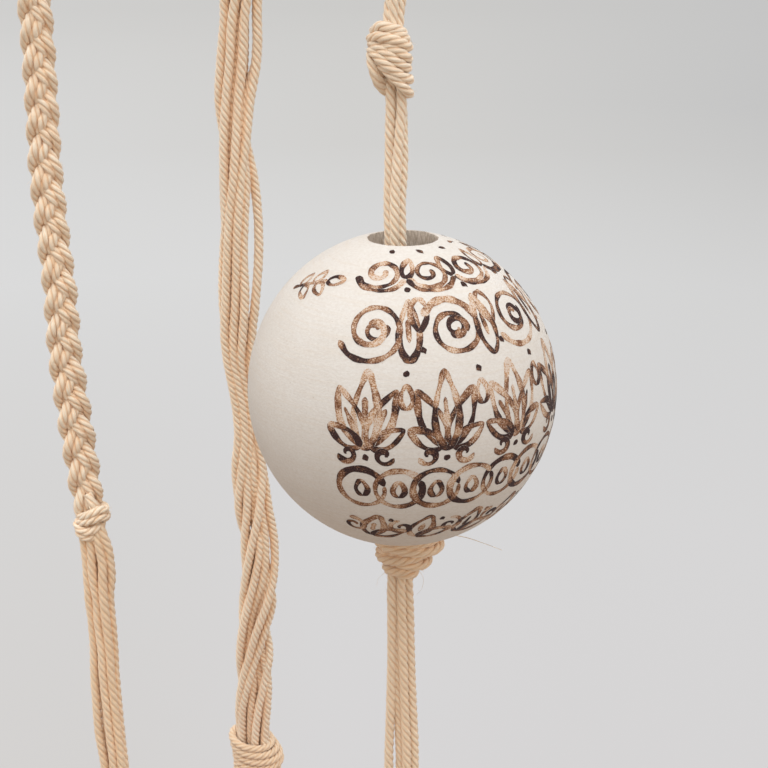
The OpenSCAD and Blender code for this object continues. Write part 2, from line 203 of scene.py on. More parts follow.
def carried_frames(line):
    """A normal and a binormal at each point, carried along without twisting."""
    tangent = np.gradient(line, axis=0)
    tangent /= lengths(tangent)[:, None]
    start = np.cross(tangent[0], [0.31, 0.95, 0.05])
    normal = np.empty_like(line)
    normal[0] = start / lengths(start)
    for i in range(len(line) - 1):
        v1 = line[i + 1] - line[i]
        c1 = v1 @ v1
        r = normal[i] - 2 / c1 * (v1 @ normal[i]) * v1
        t = tangent[i] - 2 / c1 * (v1 @ tangent[i]) * v1
        v2 = tangent[i + 1] - t
        c2 = v2 @ v2
        normal[i + 1] = r if c2 < 1e-12 else r - 2 / c2 * (v2 @ r) * v2
    return normal, np.cross(tangent, normal)


def grid(rows, columns, closed=True):
    """Quads between the vertices of a grid; a closed one also joins its last column to its first."""
    i, k = np.meshgrid(np.arange(rows - 1), np.arange(columns if closed else columns - 1), indexing="ij")
    a, b = i * columns + k, i * columns + (k + 1) % columns
    return np.stack([a, b, b + columns, a + columns], -1).reshape(-1, 4)


def new_mesh(name, points_mm, faces, smooth=True, **attributes):
    """A mesh object from points in mm, one array of faces per face size, and the values that
    its points keep."""
    mesh = bpy.data.meshes.new(name)
    mesh.vertices.add(len(points_mm))
    mesh.vertices.foreach_set("co", (np.asarray(points_mm) * MM).astype(np.float32).ravel())
    sizes = np.concatenate([np.full(len(f), f.shape[1]) for f in faces])
    mesh.loops.add(int(sizes.sum()))
    mesh.loops.foreach_set("vertex_index", np.concatenate([f.ravel() for f in faces]))
    mesh.polygons.add(len(sizes))
    mesh.polygons.foreach_set("loop_start", np.concatenate([[0], np.cumsum(sizes)[:-1]]))
    mesh.polygons.foreach_set("use_smooth", np.full(len(sizes), smooth))
    mesh.update(calc_edges=True)
    for key, rows in attributes.items():
        kind, field = ("FLOAT", "value") if rows.ndim == 1 else ("FLOAT_VECTOR", "vector")
        layer = mesh.attributes.new(key, kind, "POINT")
        layer.data.foreach_set(field, rows.astype(np.float32).ravel())
    obj = bpy.data.objects.new(name, mesh)
    bpy.context.scene.collection.objects.link(obj)
    return obj


class Patches:
    """Collects grids of points with their quads, and the vectors that the points keep."""

    def __init__(self):
        self.points, self.quads, self.vectors, self.count = [], [], {}, 0

    def keep(self, points, quads, **vectors):
        base = self.count
        self.points.append(points.reshape(-1, 3))
        self.quads.append(quads.reshape(-1, 4) + base)
        for key, rows in vectors.items():
            self.vectors.setdefault(key, []).append(rows.reshape(-1, 3))
        self.count += len(self.points[-1])
        return base

    def mesh(self, name, others=(), **attributes):
        attributes.update((key, np.vstack(rows)) for key, rows in self.vectors.items())
        return new_mesh(name, np.vstack(self.points), [np.vstack(self.quads), *others], **attributes)


class Ropes(Patches):
    """Collects laid cords and makes them one mesh.

    Each vertex keeps where it is in its cord, for the fibres (fibre: around, outward, along),
    how it looks (look: depth in the groove between plies, tint, wear), and how much painted
    warm light it gets where it faces a cord that it touches. A cord's tint is a share given
    to its whole piece plus a share of its own. The piece's share is partly its tone and partly
    painted shade, larger for the lower cords. `glow` is the most that the painted warm light
    can be, and `fuzz` counts hairs per mm."""

    def __init__(self, name, fuzz=0.9, warm=0.6, glow=0.35):
        super().__init__()
        self.name, self.fuzz, self.warm, self.glow = name, fuzz, warm, glow
        self.caps, self.lines, self.beside = [], [], []

    def add(self, route, d=CORD_D, step=1.0, lay=LAY):
        line, s = curve(route, step)
        normal, binormal = carried_frames(line)
        n, m = len(line), PLIES * len(PLY_PLACES)
        local = np.tile(PLY_PLACES, PLIES)
        ply = np.repeat(np.arange(PLIES), len(PLY_PLACES))
        around = ply * 2 * PLY_HALF + local
        groove = (np.abs(local) / PLY_HALF) ** 2.1
        at = s[:, None]
        theta = np.radians(around + (rng.uniform(0, 360) - 360 * at / lay))
        wobble = 1 + 0.025 * np.sin(at / rng.uniform(4, 9) + rng.uniform(0, 6))
        uneven = 1 + 0.02 * np.sin(ply * 2.1 + at / rng.uniform(6, 12))
        r = d / 2 * wobble * uneven * (1 - GROOVE_DEPTH * groove)
        out = ((r * np.cos(theta))[..., None] * normal[:, None]
               + (r * np.sin(theta))[..., None] * binormal[:, None])
        # Places around the cord turn with the plies, so that the fibres run along them.
        fibre = joined(np.radians(around) * d / 2, r, at) + rng.uniform(-40, 40, 3)
        # The tint is partly the cord's own tone and partly painted shade, which is larger for the lower
        # cords.
        tint = self.warm + rng.uniform(0, 1)
        look = joined(groove, tint, 0.5 + 0.5 * np.sin(at / 17 + rng.uniform(0, 6)))
        base = self.keep(line[:, None] + out, grid(n, m), fibre=fibre, look=look)
        self.lines.append((base, line, out / lengths(out)[..., None], d))
        self.caps += [base + np.arange(m)[::-1], base + (n - 1) * m + np.arange(m)]
        if self.fuzz:
            self.add_fuzz(line, s, normal, binormal, d, tint)
        return line

    def keep_hairs(self, points, quads, tint):
        look = joined(np.zeros(points.shape[:-1]), tint, 0.5)
        self.keep(points, quads, fibre=points * 0.3, look=look)

    def add_fuzz(self, line, s, normal, binormal, d, tint):
        """Loose fibres that stand off a cord: thin three-sided hairs."""
        count = int(s[-1] * self.fuzz)
        at = rng.integers(2, len(line) - 2, count)

        def some(low, high):
            return rng.uniform(low, high, (count, 1))

        a = some(0, 2 * math.pi)
        out = np.cos(a) * normal[at] + np.sin(a) * binormal[at]
        along = line[at + 1] - line[at - 1]
        along /= lengths(along)[:, None]
        side = np.cross(along, out)
        long, way = some(0.8, 2.6), rng.choice([-1, 1], (count, 1))
        lean, curl = some(0.5, 1.4), some(-0.6, 0.6)
        start = line[at] + out * (d / 2 * 0.86)
        rows = []
        for u in (0, 0.35, 0.7, 1.0):
            centre = start + long * (out * (0.55 * u - 0.2 * u * u) + along * way * lean * u * 0.8
                                     + side * curl * u * u)
            thick = 0.05 * (1 - 0.6 * u)
            rows.append(np.stack([centre + thick * side, centre + thick * out,
                                  centre - thick * side], 1))
        hairs = np.arange(count)[:, None, None] * len(rows) * 3
        self.keep_hairs(np.stack(rows, 1), hairs + grid(len(rows), 3), tint)

    def add_hair(self, route, thick=0.06, tint=0.3):
        """One loose fibre along a route: a thin three-sided tube that tapers to its end."""
        line, s = curve(route, 0.8)
        normal, binormal = carried_frames(line)
        r = thick * (1 - 0.6 * s / s[-1])[:, None]
        sides = [line + r * (math.cos(a) * normal + math.sin(a) * binormal) for a in (0, 2.1, 4.2)]
        self.keep_hairs(np.stack(sides, 1), grid(len(line), 3), tint)

    def pressed(self):
        """How far each vertex faces a cord that lies against its own, from 0 to 1."""
        share = np.zeros(self.count)
        for base, line, out, d in self.lines:
            most = np.zeros(out.shape[:2])
            for _, other, _, _ in self.lines + self.beside:
                if other is line:
                    continue
                gaps = lengths(line[:, None] - other[None])
                gap = gaps.min(1)
                toward = (other[gaps.argmin(1)] - line) / np.maximum(gap, 0.1)[:, None]
                near = np.clip((1.5 * d - gap) / (0.35 * d), 0, 1)
                facing = np.einsum("nmk,nk->nm", out, toward)
                most = np.maximum(most, near[:, None] * np.clip((facing - 0.15) / 0.6, 0, 1))
            share[base:base + most.size] = most.ravel()
        return share

    def build(self):
        caps = [np.vstack(self.caps)] if self.caps else []
        # The mask of the warm light that is painted where cords touch.
        obj = self.mesh(self.name, caps, press=self.glow * self.pressed())
        obj.data.materials.append(COTTON)
        return obj

    def hang(self, *nodes):
        """Builds the cords, which ride with the hanger and stand for CAD nodes."""
        piece = self.build()
        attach(piece, "hanger")
        if nodes:
            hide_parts(*nodes)


def make_cords(name, nodes, routes, d=CORD_D, step=1.0, lay=LAY, **looks):
    """One piece of cords along routes, in place of its CAD nodes."""
    ropes = Ropes(name, **looks)
    for route in routes:
        ropes.add(route, d, step, lay)
    ropes.hang(*nodes)


def turn_around(centre, r, tilt, lean, flat=1.0, steps=20):
    """A turn of cord around a bundle: an ellipse whose side at `lean` degrees is lifted."""
    angles = [90 + 360 * i / steps for i in range(steps + 1)]
    return [[centre[0] + r * cosd(a), centre[1] + r * flat * sind(a),
             centre[2] + tilt * cosd(a - lean)] for a in angles]


def helix(centre, r, top, foot, pitch=3.05, start=90):
    """A wrap's cord, from top to foot, its ends turned in under the wrap."""
    axis = np.array([centre[0], centre[1], 0])
    turns = (top - foot - pitch) / pitch
    steps = int(turns * 16)
    rows = [polar(r - 2.4, start - 30, top - pitch / 2)]
    rows += [polar(r, start + 360 * turns * i / steps, top - pitch / 2 - (top - foot - pitch) * i / steps)
             for i in range(steps + 1)]
    rows.append(polar(r - 2.4, start + 360 * turns + 30, foot + pitch / 2))
    return [axis + row for row in rows]


# ----- materials
def srgb(r, g, b):
    """A colour given as 0-255 screen values, as linear light."""
    def linear(c):
        c /= 255
        return c / 12.92 if c <= 0.04045 else ((c + 0.055) / 1.055) ** 2.4
    return (linear(r), linear(g), linear(b), 1)


class Nodes:
    """Short calls for building the shader nodes of a material or the world."""

    def __init__(self, owner):
        owner.use_nodes = True
        self.owner, self.tree = owner, owner.node_tree
        self.shader = self.tree.nodes.get("Principled BSDF")

    def put(self, value, socket):
        if isinstance(value, bpy.types.NodeSocket):
            self.tree.links.new(value, socket)
        elif value is not None:
            socket.default_value = value

    def new(self, kind, *values, **settings):
        """A node with its first sockets set; None leaves one as it is."""
        node = self.tree.nodes.new("ShaderNode" + kind)
        for key, value in settings.items():
            setattr(node, key, value)
        for socket, value in zip(node.inputs, values):
            self.put(value, socket)
        return node

    def attribute(self, name, kind="Vector"):
        return self.new("Attribute", attribute_name=name).outputs[kind]

    def parts(self, vector):
        return self.new("SeparateXYZ", vector).outputs

    def place(self):
        return self.new("TexCoord").outputs["Object"]

    def stretched(self, vector, scale):
        return self.new("VectorMath", vector, scale, operation="MULTIPLY").outputs[0]

    def noise(self, vector, scale, detail=2, rough=0.5):
        if not isinstance(scale, tuple):
            scale = (scale, scale, scale)
        return self.new("TexNoise", self.stretched(vector, scale), None, 1, detail, rough).outputs["Fac"]

    def math(self, operation, a, b):
        return self.new("Math", a, b, operation=operation).outputs[0]

    def add(self, a, b):
        return self.math("ADD", a, b)

    def times(self, a, b):
        return self.math("MULTIPLY", a, b)

    def span(self, value, low, high, to_low=0, to_high=1):
        return self.new("MapRange", value, low, high, to_low, to_high).outputs["Result"]

    def mix(self, factor, a, b):
        """Mixes two colours; the Mix node's colour sockets are its seventh and eighth."""
        return self.new("Mix", factor, *[None] * 5, a, b, data_type="RGBA").outputs[2]

    def over(self, colour, screen, mask, low, high, most=1, least=0):
        """A screen colour over a colour, as far as a mask is between low and high."""
        if isinstance(colour, tuple):
            colour = srgb(*colour)
        return self.mix(self.span(mask, low, high, least, most), colour, srgb(*screen))

    def bump(self, height, strength, distance, before=None):
        return self.new("Bump", strength, distance, None, height, before).outputs["Normal"]

    def surface(self, colour, roughness, normal=None, **constants):
        """Sets the shader's sockets; a constant's name has _ for each space."""
        constants.update(Base_Color=colour, Roughness=roughness, Normal=normal)
        for key, value in constants.items():
            self.put(value, self.shader.inputs[key.replace("_", " ")])
        return self.owner

    def shown_and_lit(self, shown, lit, share=1):
        """Mixes what camera, glossy and transmission rays see with the plainly lit shader."""
        path = self.new("LightPath").outputs
        seen = path["Is Camera Ray"]
        for other in ("Is Glossy Ray", "Is Transmission Ray"):
            seen = self.math("MAXIMUM", seen, path[other])
        return self.new("MixShader", self.times(seen, share), lit, shown).outputs[0]


def new_material(name):
    return Nodes(bpy.data.materials.new(name))


def cotton_material():
    n = new_material("cotton_cord")
    fibre = n.attribute("fibre")
    groove, tint, wear = n.parts(n.attribute("look"))
    streaks = n.noise(fibre, (4.5, 1, 0.55), 3, 0.6)
    fine = n.noise(fibre, (13, 2, 1.6), 2, 0.6)
    patches = n.noise(fibre, (0.25, 0.25, 0.12), 1)
    crown = n.over((253, 222, 188), (255, 249, 233), streaks, 0.32, 0.62)
    crown = n.over(crown, (242, 206, 166), fine, 0.3, 0.7, 0.18)
    # Painted shade: the valley between the plies is painted darker and warmer than the crown, standing in for
    # the shade in the grooves.
    painted_valley_shade = n.over((222, 172, 126), (238, 194, 150), fine, 0.3, 0.7)
    colour = n.mix(n.span(groove, 0.22, 0.95, 0, 0.9), crown, painted_valley_shade)
    # Painted shade in part: the tint darkens and warms a cord, more for the lower cords and for the knot in
    # the ball's shadow.
    colour = n.over(colour, (234, 194, 149), tint, 0, 4, 0.6)
    colour = n.over(colour, (252, 222, 192), patches, 0.45, 0.75, 0.2)
    colour = n.mix(n.times(n.span(wear, 0.6, 1), 0.1), colour, srgb(250, 238, 212))
    # Painted light: where a cord faces one that touches it, its colour is painted warmer, standing in for
    # light that passes through the cotton and bounces between the cords.
    colour = n.over(colour, (255, 200, 142), n.attribute("press", "Fac"), 0.1, 1, 0.6)
    height = n.add(streaks, n.times(fine, 0.6))
    return n.surface(colour, 0.9, n.bump(height, 0.85, 0.0002), Specular_IOR_Level=0.15,
                     Sheen_Weight=0.5, Sheen_Roughness=0.6)


def washed_wood(n):
    """Colour, roughness and bump of the whitewashed wood; the turning marks run level."""
    place = n.place()
    rings = n.noise(place, (60, 60, 1500), 3, 0.6)
    pores = n.noise(place, (900, 900, 3200), 2, 0.7)
    cloud = n.noise(place, (26, 26, 34), 3, 0.6)
    mottle = n.noise(place, (1000, 1000, 1700), 3, 0.65)
    colour = n.over((223, 219, 214), (217, 212, 206), cloud, 0.35, 0.7)
    colour = n.over(colour, (216, 205, 192), rings, 0.48, 0.66, 0.35)
    colour = n.over(colour, (200, 185, 168), pores, 0.62, 0.76, 0.3)
    colour = n.over(colour, (168, 148, 128), n.noise(place, 1500), 0.71, 0.76, 0.5)
    colour = n.over(colour, (196, 184, 172), mottle, 0.36, 0.66, 0, 0.3)
    height = n.add(n.add(n.times(rings, 0.6), n.times(pores, 0.5)), n.times(mottle, 0.8))
    return colour, n.span(pores, 0.3, 0.7, 0.6, 0.74), n.bump(height, 0.6, 0.00012)


def whitewash_material():
    n = new_material("whitewashed_wood")
    colour, rough, normal = washed_wood(n)
    inner = n.parts(n.attribute("look"))["X"]
    torn = n.noise(n.place(), (1300, 1300, 420), 3, 0.7)
    raw = n.over((176, 162, 147), (224, 214, 203), torn, 0.35, 0.65)
    edge = n.add(inner, n.span(torn, 0.3, 0.7, -0.25, 0.25))
    colour = n.mix(n.span(edge, 0.42, 0.6), colour, raw)
    normal = n.bump(n.times(torn, inner), 0.9, 0.0004, normal)
    return n.surface(colour, rough, normal, Specular_IOR_Level=0.2)


def ink_material():
    """Brown ink on the same wood: the ribbon's edges show the wood itself."""
    n = new_material("ink_on_wood")
    wood, rough, normal = washed_wood(n)
    across, strength, _ = n.parts(n.attribute("look"))
    place = n.place()
    grain = n.noise(place, 2600, 2, 0.6)
    ragged = n.noise(place, 900, 3, 0.6)
    pools = n.noise(place, 230)
    body = n.span(n.add(across, n.span(ragged, 0.25, 0.75, -0.07, 0.12)), 1.04, 0.97)
    light, mid, dark = (n.over(pale, deep, grain, 0.35, 0.65) for pale, deep in (
        ((210, 172, 134), (176, 130, 92)), ((152, 106, 74), (110, 72, 50)), ((76, 50, 44), (36, 26, 28))))
    rim = n.span(across, 0.35, 0.75, 0, 0.1)
    depth = n.add(strength, n.add(rim, n.span(pools, 0.35, 0.65, -0.3, 0.16)))
    depth = n.add(depth, n.span(grain, 0.3, 0.7, -0.08, 0.08))
    ink = n.mix(n.span(depth, 0.3, 0.58), light, mid)
    ink = n.mix(n.span(depth, 0.62, 0.82), ink, dark)
    broken = n.span(n.add(grain, n.times(depth, 0.45)), 0.5, 0.72)
    colour = n.mix(n.times(body, n.span(broken, 0, 1, 0.35, 1)), wood, ink)
    return n.surface(colour, rough, normal, Specular_IOR_Level=0.2)


def ring_wood_material():
    n = new_material("ring_wood")
    place = n.place()
    grain = n.noise(place, (60, 900, 900), 4, 0.65)
    pores = n.noise(place, (350, 2600, 2600), 2, 0.6)
    colour = n.over((205, 164, 118), (180, 134, 88), n.noise(place, (12, 170, 170)), 0.35, 0.65)
    colour = n.over(colour, (152, 106, 66), grain, 0.4, 0.7, 0.5)
    colour = n.over(colour, (112, 74, 44), pores, 0.62, 0.72, 0.6)
    colour = n.over(colour, (222, 186, 142), n.noise(place, 14), 0.4, 0.7, 0.25)
    return n.surface(colour, n.span(grain, 0.3, 0.7, 0.36, 0.5), n.bump(n.add(grain, pores), 0.3, 0.0001),
                     Coat_Weight=0.12, Coat_Roughness=0.3)


def terracotta_material():
    n = new_material("terracotta")
    place = n.place()
    cloud = n.noise(place, (22, 22, 30), 4, 0.6)
    grit = n.noise(place, 1400, 2, 0.6)
    rings = n.noise(place, (16, 16, 700), 3, 0.6)
    bloom = n.noise(place, (38, 38, 24), 5, 0.65)
    colour = n.over((192, 118, 86), (174, 100, 70), cloud, 0.35, 0.65)
    colour = n.over(colour, (160, 90, 62), rings, 0.45, 0.7, 0.35)
    colour = n.over(colour, (214, 172, 146), bloom, 0.55, 0.78, 0.45)
    colour = n.over(colour, (120, 66, 46), grit, 0.66, 0.74, 0.5)
    height = n.add(n.times(rings, 1.4), n.times(grit, 0.5))
    return n.surface(colour, n.span(cloud, 0.3, 0.7, 0.78, 0.92), n.bump(height, 0.5, 0.0003),
                     Specular_IOR_Level=0.25)


# ----- camera and stage
CAMERA_LENS, CAMERA_TILT = 56.3, 70
CAMERA_FROM_BALL = np.array([-5.61, -352.85, 129.76])


def make_camera():
    data = bpy.data.cameras.new("camera")
    data.lens, data.sensor_width, data.clip_start = CAMERA_LENS, 36, 0.01
    camera = bpy.data.objects.new("camera", data)
    camera.location = (BALL + CAMERA_FROM_BALL) * MM
    camera.rotation_euler = (math.radians(CAMERA_TILT), 0, 0)
    bpy.context.scene.collection.objects.link(camera)
    bpy.context.scene.camera = camera


BACKDROP = srgb(204, 203, 201)
LIGHT, LIGHT_STRENGTH = (1.0, 0.985, 0.965, 1), 0.66


def make_world():
    n = Nodes(bpy.data.worlds.new("world"))
    n.tree.nodes.clear()
    shown, lit = (n.new("Background", *values) for values in ((BACKDROP,), (LIGHT, LIGHT_STRENGTH)))
    n.new("OutputWorld", n.shown_and_lit(shown.outputs[0], lit.outputs[0]))
    bpy.context.scene.world = n.owner


FLOOR_Z, FLOOR_HALF = -960, 60000
# Painted light on the floor's shown grey, darker to the right and lighter to the left: across
# over away (to the right if above 0), the most that it changes, the distances in metres over
# which it does so, its share at both, and the grey.
PAINTED_SIDE_LIGHT = ((0.34, 0.95, (1.2, 6), (0.05, 1), 196), (-0.34, 0.8, (2, 12), (1, 0.35), 219))


def make_floor():
    """A wide floor with painted light: its shown grey is lightest near the object, fades a little
    with distance, and is darker to the right and lighter to the left, as light falls off on a
    lit paper sweep."""
    corners = [(FLOOR_HALF * x, FLOOR_HALF * y, FLOOR_Z) for x, y in ((-1, -1), (1, -1), (1, 1), (-1, 1))]
    floor = new_mesh("floor", corners, [np.array([[0, 1, 2, 3]])], smooth=False)
    n = new_material("floor")
    place = n.stretched(n.place(), (1, 1, 0))
    away = n.new("VectorMath", place, operation="LENGTH").outputs["Value"]
    across = n.math("DIVIDE", n.parts(place)["X"], away)
    # Painted pool of light: the shown grey is lighter near the object and fades to the backdrop's grey far
    # away.
    grey = n.over((224, 225, 228), (219, 219, 219), away, 0.4, 2.2)
    grey = n.over(grey, (210, 209, 207), away, 2.2, 4.5)
    grey = n.mix(n.span(away, 4.5, 16), grey, BACKDROP)
    far = n.span(away, 20, 55, 1, 0)
    for reach, most, distances, shares, tone in PAINTED_SIDE_LIGHT:
        side = n.span(across, math.copysign(0.02, reach), reach, 0, most)
        share = n.times(side, n.span(away, *distances, *shares))
        grey = n.mix(n.times(share, far), grey, srgb(tone, tone, tone))
    n.surface(srgb(166, 149, 133), 0.9)
    shown = n.new("Emission", grey).outputs[0]
    mixed = n.shown_and_lit(shown, n.shader.outputs[0], n.span(away, 0.5, 2.5, 0.8, 1.0))
    n.put(mixed, n.tree.nodes["Material Output"].inputs[0])
    floor.data.materials.append(n.owner)


# Broad light from overhead, a softer key in front of it, and a little from both sides: the
# place from the ball in metres, the size, the power and the colour.
LAMPS = {
    "top": ((-0.25, 0.0, 1.5), 2.6, 15.6, (1.0, 1.0, 0.995)),
    "key": ((-0.1, -0.75, 1.49), 1.3, 11.8, (1.0, 1.0, 0.99)),
    "right": ((1.6, -0.3, 0.1), 2.0, 7.8, (1.0, 0.99, 0.98)),
    "left": ((-1.5, -0.5, 0.3), 2.0, 3.3, (1.0, 0.99, 0.98)),
}


def make_lights():
    aim = BALL * MM
    for name, (offset, size, power, colour) in LAMPS.items():
        data = bpy.data.lights.new(name, "AREA")
        data.shape, data.size, data.energy, data.color = "DISK", size, power, colour
        lamp = bpy.data.objects.new(name, data)
        lamp.location = aim + offset
        lamp.rotation_euler = (Vector(aim) - lamp.location).to_track_quat("-Z", "Y").to_euler()
        bpy.context.scene.collection.objects.link(lamp)


bpy.context.scene.view_settings.view_transform = "Standard"
make_camera()
COTTON = cotton_material()


# ----- tassel: the free cords
TASSEL_CORDS = 18
TASSEL_LENGTH = 155
TASSEL_TOP_Z = BASE_FOOT - 1


def base_place(k, z, spread=1.0):
    """Where strand k stands in the bundle under the pot: six trios, one inner and two outer."""
    trio, part = k // 3, k % 3 - 1
    r = PITCH if part == 0 else 2 * PITCH * cosd(15)
    return polar(r * spread, 5 + 60 * trio + 15 * part, z)


def swing(piece):
    """Bakes the piece's place into its mesh."""
    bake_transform(piece)


def tassel_route(k):
    """Strand k spreads a little and waves on its way down, and ends at a height of its own."""
    foot = BASE_FOOT - TASSEL_LENGTH + 5 * math.sin(k * 2.4) + 5
    route = []
    for s in np.arange(21) / 20:
        p = base_place(k, 0, 1 + 0.82 * s**1.5)
        wave = 1.1 * s * math.sin(3.1 * s * 2 + k * 1.7)
        route.append([p[0] + wave * math.cos(k), p[1] + wave * math.sin(k),
                      TASSEL_TOP_Z + (foot - BASE_FOOT + 1) * s])
    return route


def make_tassel():
    ends = Ropes("tassel_fuzz")
    for k in range(TASSEL_CORDS):
        route = tassel_route(k)
        ropes = Ropes("tassel_cord_%02d" % (k + 1), fuzz=0)
        line = ropes.add(route)
        ends.add_fuzz(line, curve(route, 1.0)[1], *carried_frames(line), CORD_D, 0.4)
        for _ in range(16):
            a, out = rng.uniform(0, 2 * math.pi), rng.uniform(0.2, 1.2)
            spread = np.array([math.cos(a), math.sin(a), 0])
            start = line[-1] + spread * out
            drop = rng.uniform(3, 8)
            ends.add_hair([start + [0, 0, 2], start - [0, 0, drop * 0.4] + spread * 0.3,
                           start - [0, 0, drop] + spread * rng.uniform(0.2, 2.2)], 0.09)
        piece = ropes.build()
        tuple(np.array(route[0]) * MM)
        swing(piece)
        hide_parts("tassel_strands")
    swing(ends.build())


make_tassel()
make_world()
make_floor()
make_lights()


# ----- ring, crown and hoop
# Where each arm's strands pass the crown: column and row, rows counted from the middle.
CROWN_PLACES = {
    "left": ((-2, -1), (-1.5, -2), (-1, -1), (-0.5, -2), (0, -1), (0.5, -2)),
    "back": ((1.5, 2), (1, 1), (0.5, 2), (0, 1), (-0.5, 2), (-1, 1), (-1.5, 2), (-2, 1)),
    "right": ((1.5, -2), (1, -1), (2, -1), (2, 1)),
}
HUG = HOOP_TUBE / 2 + CORD_D / 2 - 0.1


def turned(points, degrees):
    c, s = cosd(degrees), sind(degrees)
    return [[p[0] * c - p[1] * s, p[0] * s + p[1] * c, p[2]] for p in points]


def row_depth(row):
    return math.copysign(PITCH / 2 + (abs(row) - 1) * ROW_RISE, row)


def loop_route(column, row):
    """A strand that rises from the crown wrap, bends over the ring and goes down behind it."""
    x, y = column * PITCH, row_depth(row)
    bend = RING_TUBE / 2 + 0.5 + CORD_D / 2 + (row - 1) * ROW_RISE
    z = RING_Z - math.sqrt(RING_R**2 - x**2)
    over = [[x, bend * cosd(a), z + bend * sind(a)] for a in range(180, -1, -18)]
    rise = [[x, -y, CROWN_TOP - 4], [x, -y, CROWN_TOP + 2], [x, -bend * 0.97, z - 3.5]]
    fall = [[x, -y, z] for x, y, z in rise[::-1]]
    return turned(rise + over + fall, RING_TURN)


def make_crown_loops():
    places = [(k - 2, 1) for k in range(5)] + [(k - 1.5, 2) for k in range(4)]
    make_cords("ring_loops", ["crown_loops"], (loop_route(*place) for place in places), step=0.8)


def make_wrap(name, node, inner_r, top, foot):
    route = helix((0, 0, 0), inner_r + CORD_D / 2, top, foot, start=250)
    make_cords(name, [node], [route], step=0.9)


def hitch_angle(arm, k):
    step = math.degrees(PITCH / (ARM_R - 4.6))
    return ARM_ANGLE[arm] + (k - (ARM_COUNT[arm] - 1) / 2) * step


def around_hoop(turn, out, shift, radius):
    """A point of the hitch: `turn` degrees round the hoop's section at an angle of the hoop."""
    p = polar(ARM_R + radius * cosd(turn), out, HOOP_Z + radius * sind(turn))
    return p + shift * np.array([-sind(out), cosd(out), 0])


def under_hoop(out):
    return [polar(ARM_R + 1.5, out, HOOP_Z - 11), polar(ARM_R, out, HOOP_Z - 15)]


def crown_route(arm, k):
    """A strand out of the crown wrap, over the hoop in one turn, and on below it."""
    column, row = CROWN_PLACES[arm][k]
    place = np.array(turned([[column * PITCH, row_depth(row), 0]], RING_TURN)[0])
    out = hitch_angle(arm, k)
    leave = place * 1.1 + [0, 0, CROWN_FOOT - 3]
    reach = around_hoop(62, out, 0, HUG + 11)
    route = [place + [0, 0, CROWN_TOP - 4], place + [0, 0, CROWN_FOOT + 2], leave]
    for s in (0.12, 0.3, 0.5, 0.7, 0.88):
        sag = 1.6 * math.sin(math.pi * s) * (1 - s)
        route.append(leave + (reach - leave) * s - [0, 0, sag])
    route.append(reach)
    for a in range(30, -345, -30):
        looser = 2.2 * max(0, (-250 - a) / 100) ** 0.7
        route.append(around_hoop(a, out, (55 - a) / 400 - 0.5, HUG + looser))
    return route + [polar(ARM_R + HUG + 2.0, out, HOOP_Z - 4), *under_hoop(out)]


def make_crown_cords(arm):
    routes = (crown_route(arm, k) for k in range(ARM_COUNT[arm]))
    make_cords(arm + "_crown_cords", ["crown_%s_strands" % arm, arm + "_hitches"], routes, step=0.8)


def gather(arm, k, h, end):
    """Route of strand k from the hoop to its end in the arm's bundle at a height."""
    out = hitch_angle(arm, k)
    place = end - arm_middle(arm, h)
    between = (arm_middle(arm, h + 6) + polar(ARM_R, out, BALL[2] + h + 12) + place) / 2
    return [*under_hoop(out), between, end]


# ----- left arm
# A braid cord's reach to the side and its offset from its strand's middle, by height.
BRAID_REACH = ((-40, 1.6), (-30, 2.55), (-10, 2.8), (40, 2.4), (100, 2.15))
BRAID_OFFSET = ((-30, 1.3), (60, 1.15))
BRAID_DEPTH, BRAID_VIEW, BRAID_PERIOD = 1.55, 20, 24


def braid_point(h, k, side):
    """A cord of the braid: strand k of three, and its left or right cord. The braid gets wider
    and looser towards its foot, and narrows again into the knot."""
    drop = BRAID_TOP_H - h
    phase = 2 * math.pi * (drop / BRAID_PERIOD - 0.000025 * drop**2 + k / 3)
    reach = table(BRAID_REACH, h)
    x, y = reach * math.sin(phase), -BRAID_DEPTH * math.sin(2 * phase)
    dx = -reach * math.cos(phase) * 2 * math.pi * (1 / BRAID_PERIOD - 0.00005 * drop)
    length = math.hypot(dx, 1)
    offset = side * table(BRAID_OFFSET, h)
    place = [x + offset / length, y, -offset * dx / length]
    return arm_middle("left", h) + turned([place], BRAID_VIEW)[0]


def make_left_braid():
    heights = np.arange(BRAID_TOP_H + 2, BRAID_FOOT_H - 19, -2.0)
    routes = [[braid_point(h, k, side) for h in heights] for k in range(3) for side in (-1, 1)]
    make_cords("left_braid_cords", ["left_braid"], routes, 3.05, 0.6, 11, warm=0.8, glow=0.6)


def make_left_upper():
    routes, top = [], BRAID_TOP_H + 2
    for k, cord in enumerate((0, 3, 1, 4, 2, 5)):
        end = braid_point(top, cord // 2, cord % 2 * 2 - 1)
        routes.append(gather("left", k, top, end) + [end - [0, 0, 4]])
    make_cords("left_upper_cords", ["left_upper_strands"], routes, warm=1.2, glow=0.8)


def wound(arm, front, rear=4.6):
    """A turn of cord: across the front through (side, height, depth) places, round the back,
    its two ends tucked into the knot behind."""
    left, right = front[0][0], front[-1][0]
    middle, half = (left + right) / 2, (right - left) / 2 + 0.2

    def tail(end, way):
        rows = [(middle + way * half * cosd(180 * share), end[1] - way * 0.3 * share,
                 end[2] * (1 - share) - rear * sind(180 * share)) for share in (0.2, 0.4, 0.55)]
        return rows + [(middle + way * 0.5, end[1], -1.0)]

    return arm_route(arm, [*tail(front[0], -1)[::-1], *front, *tail(front[-1], 1)])


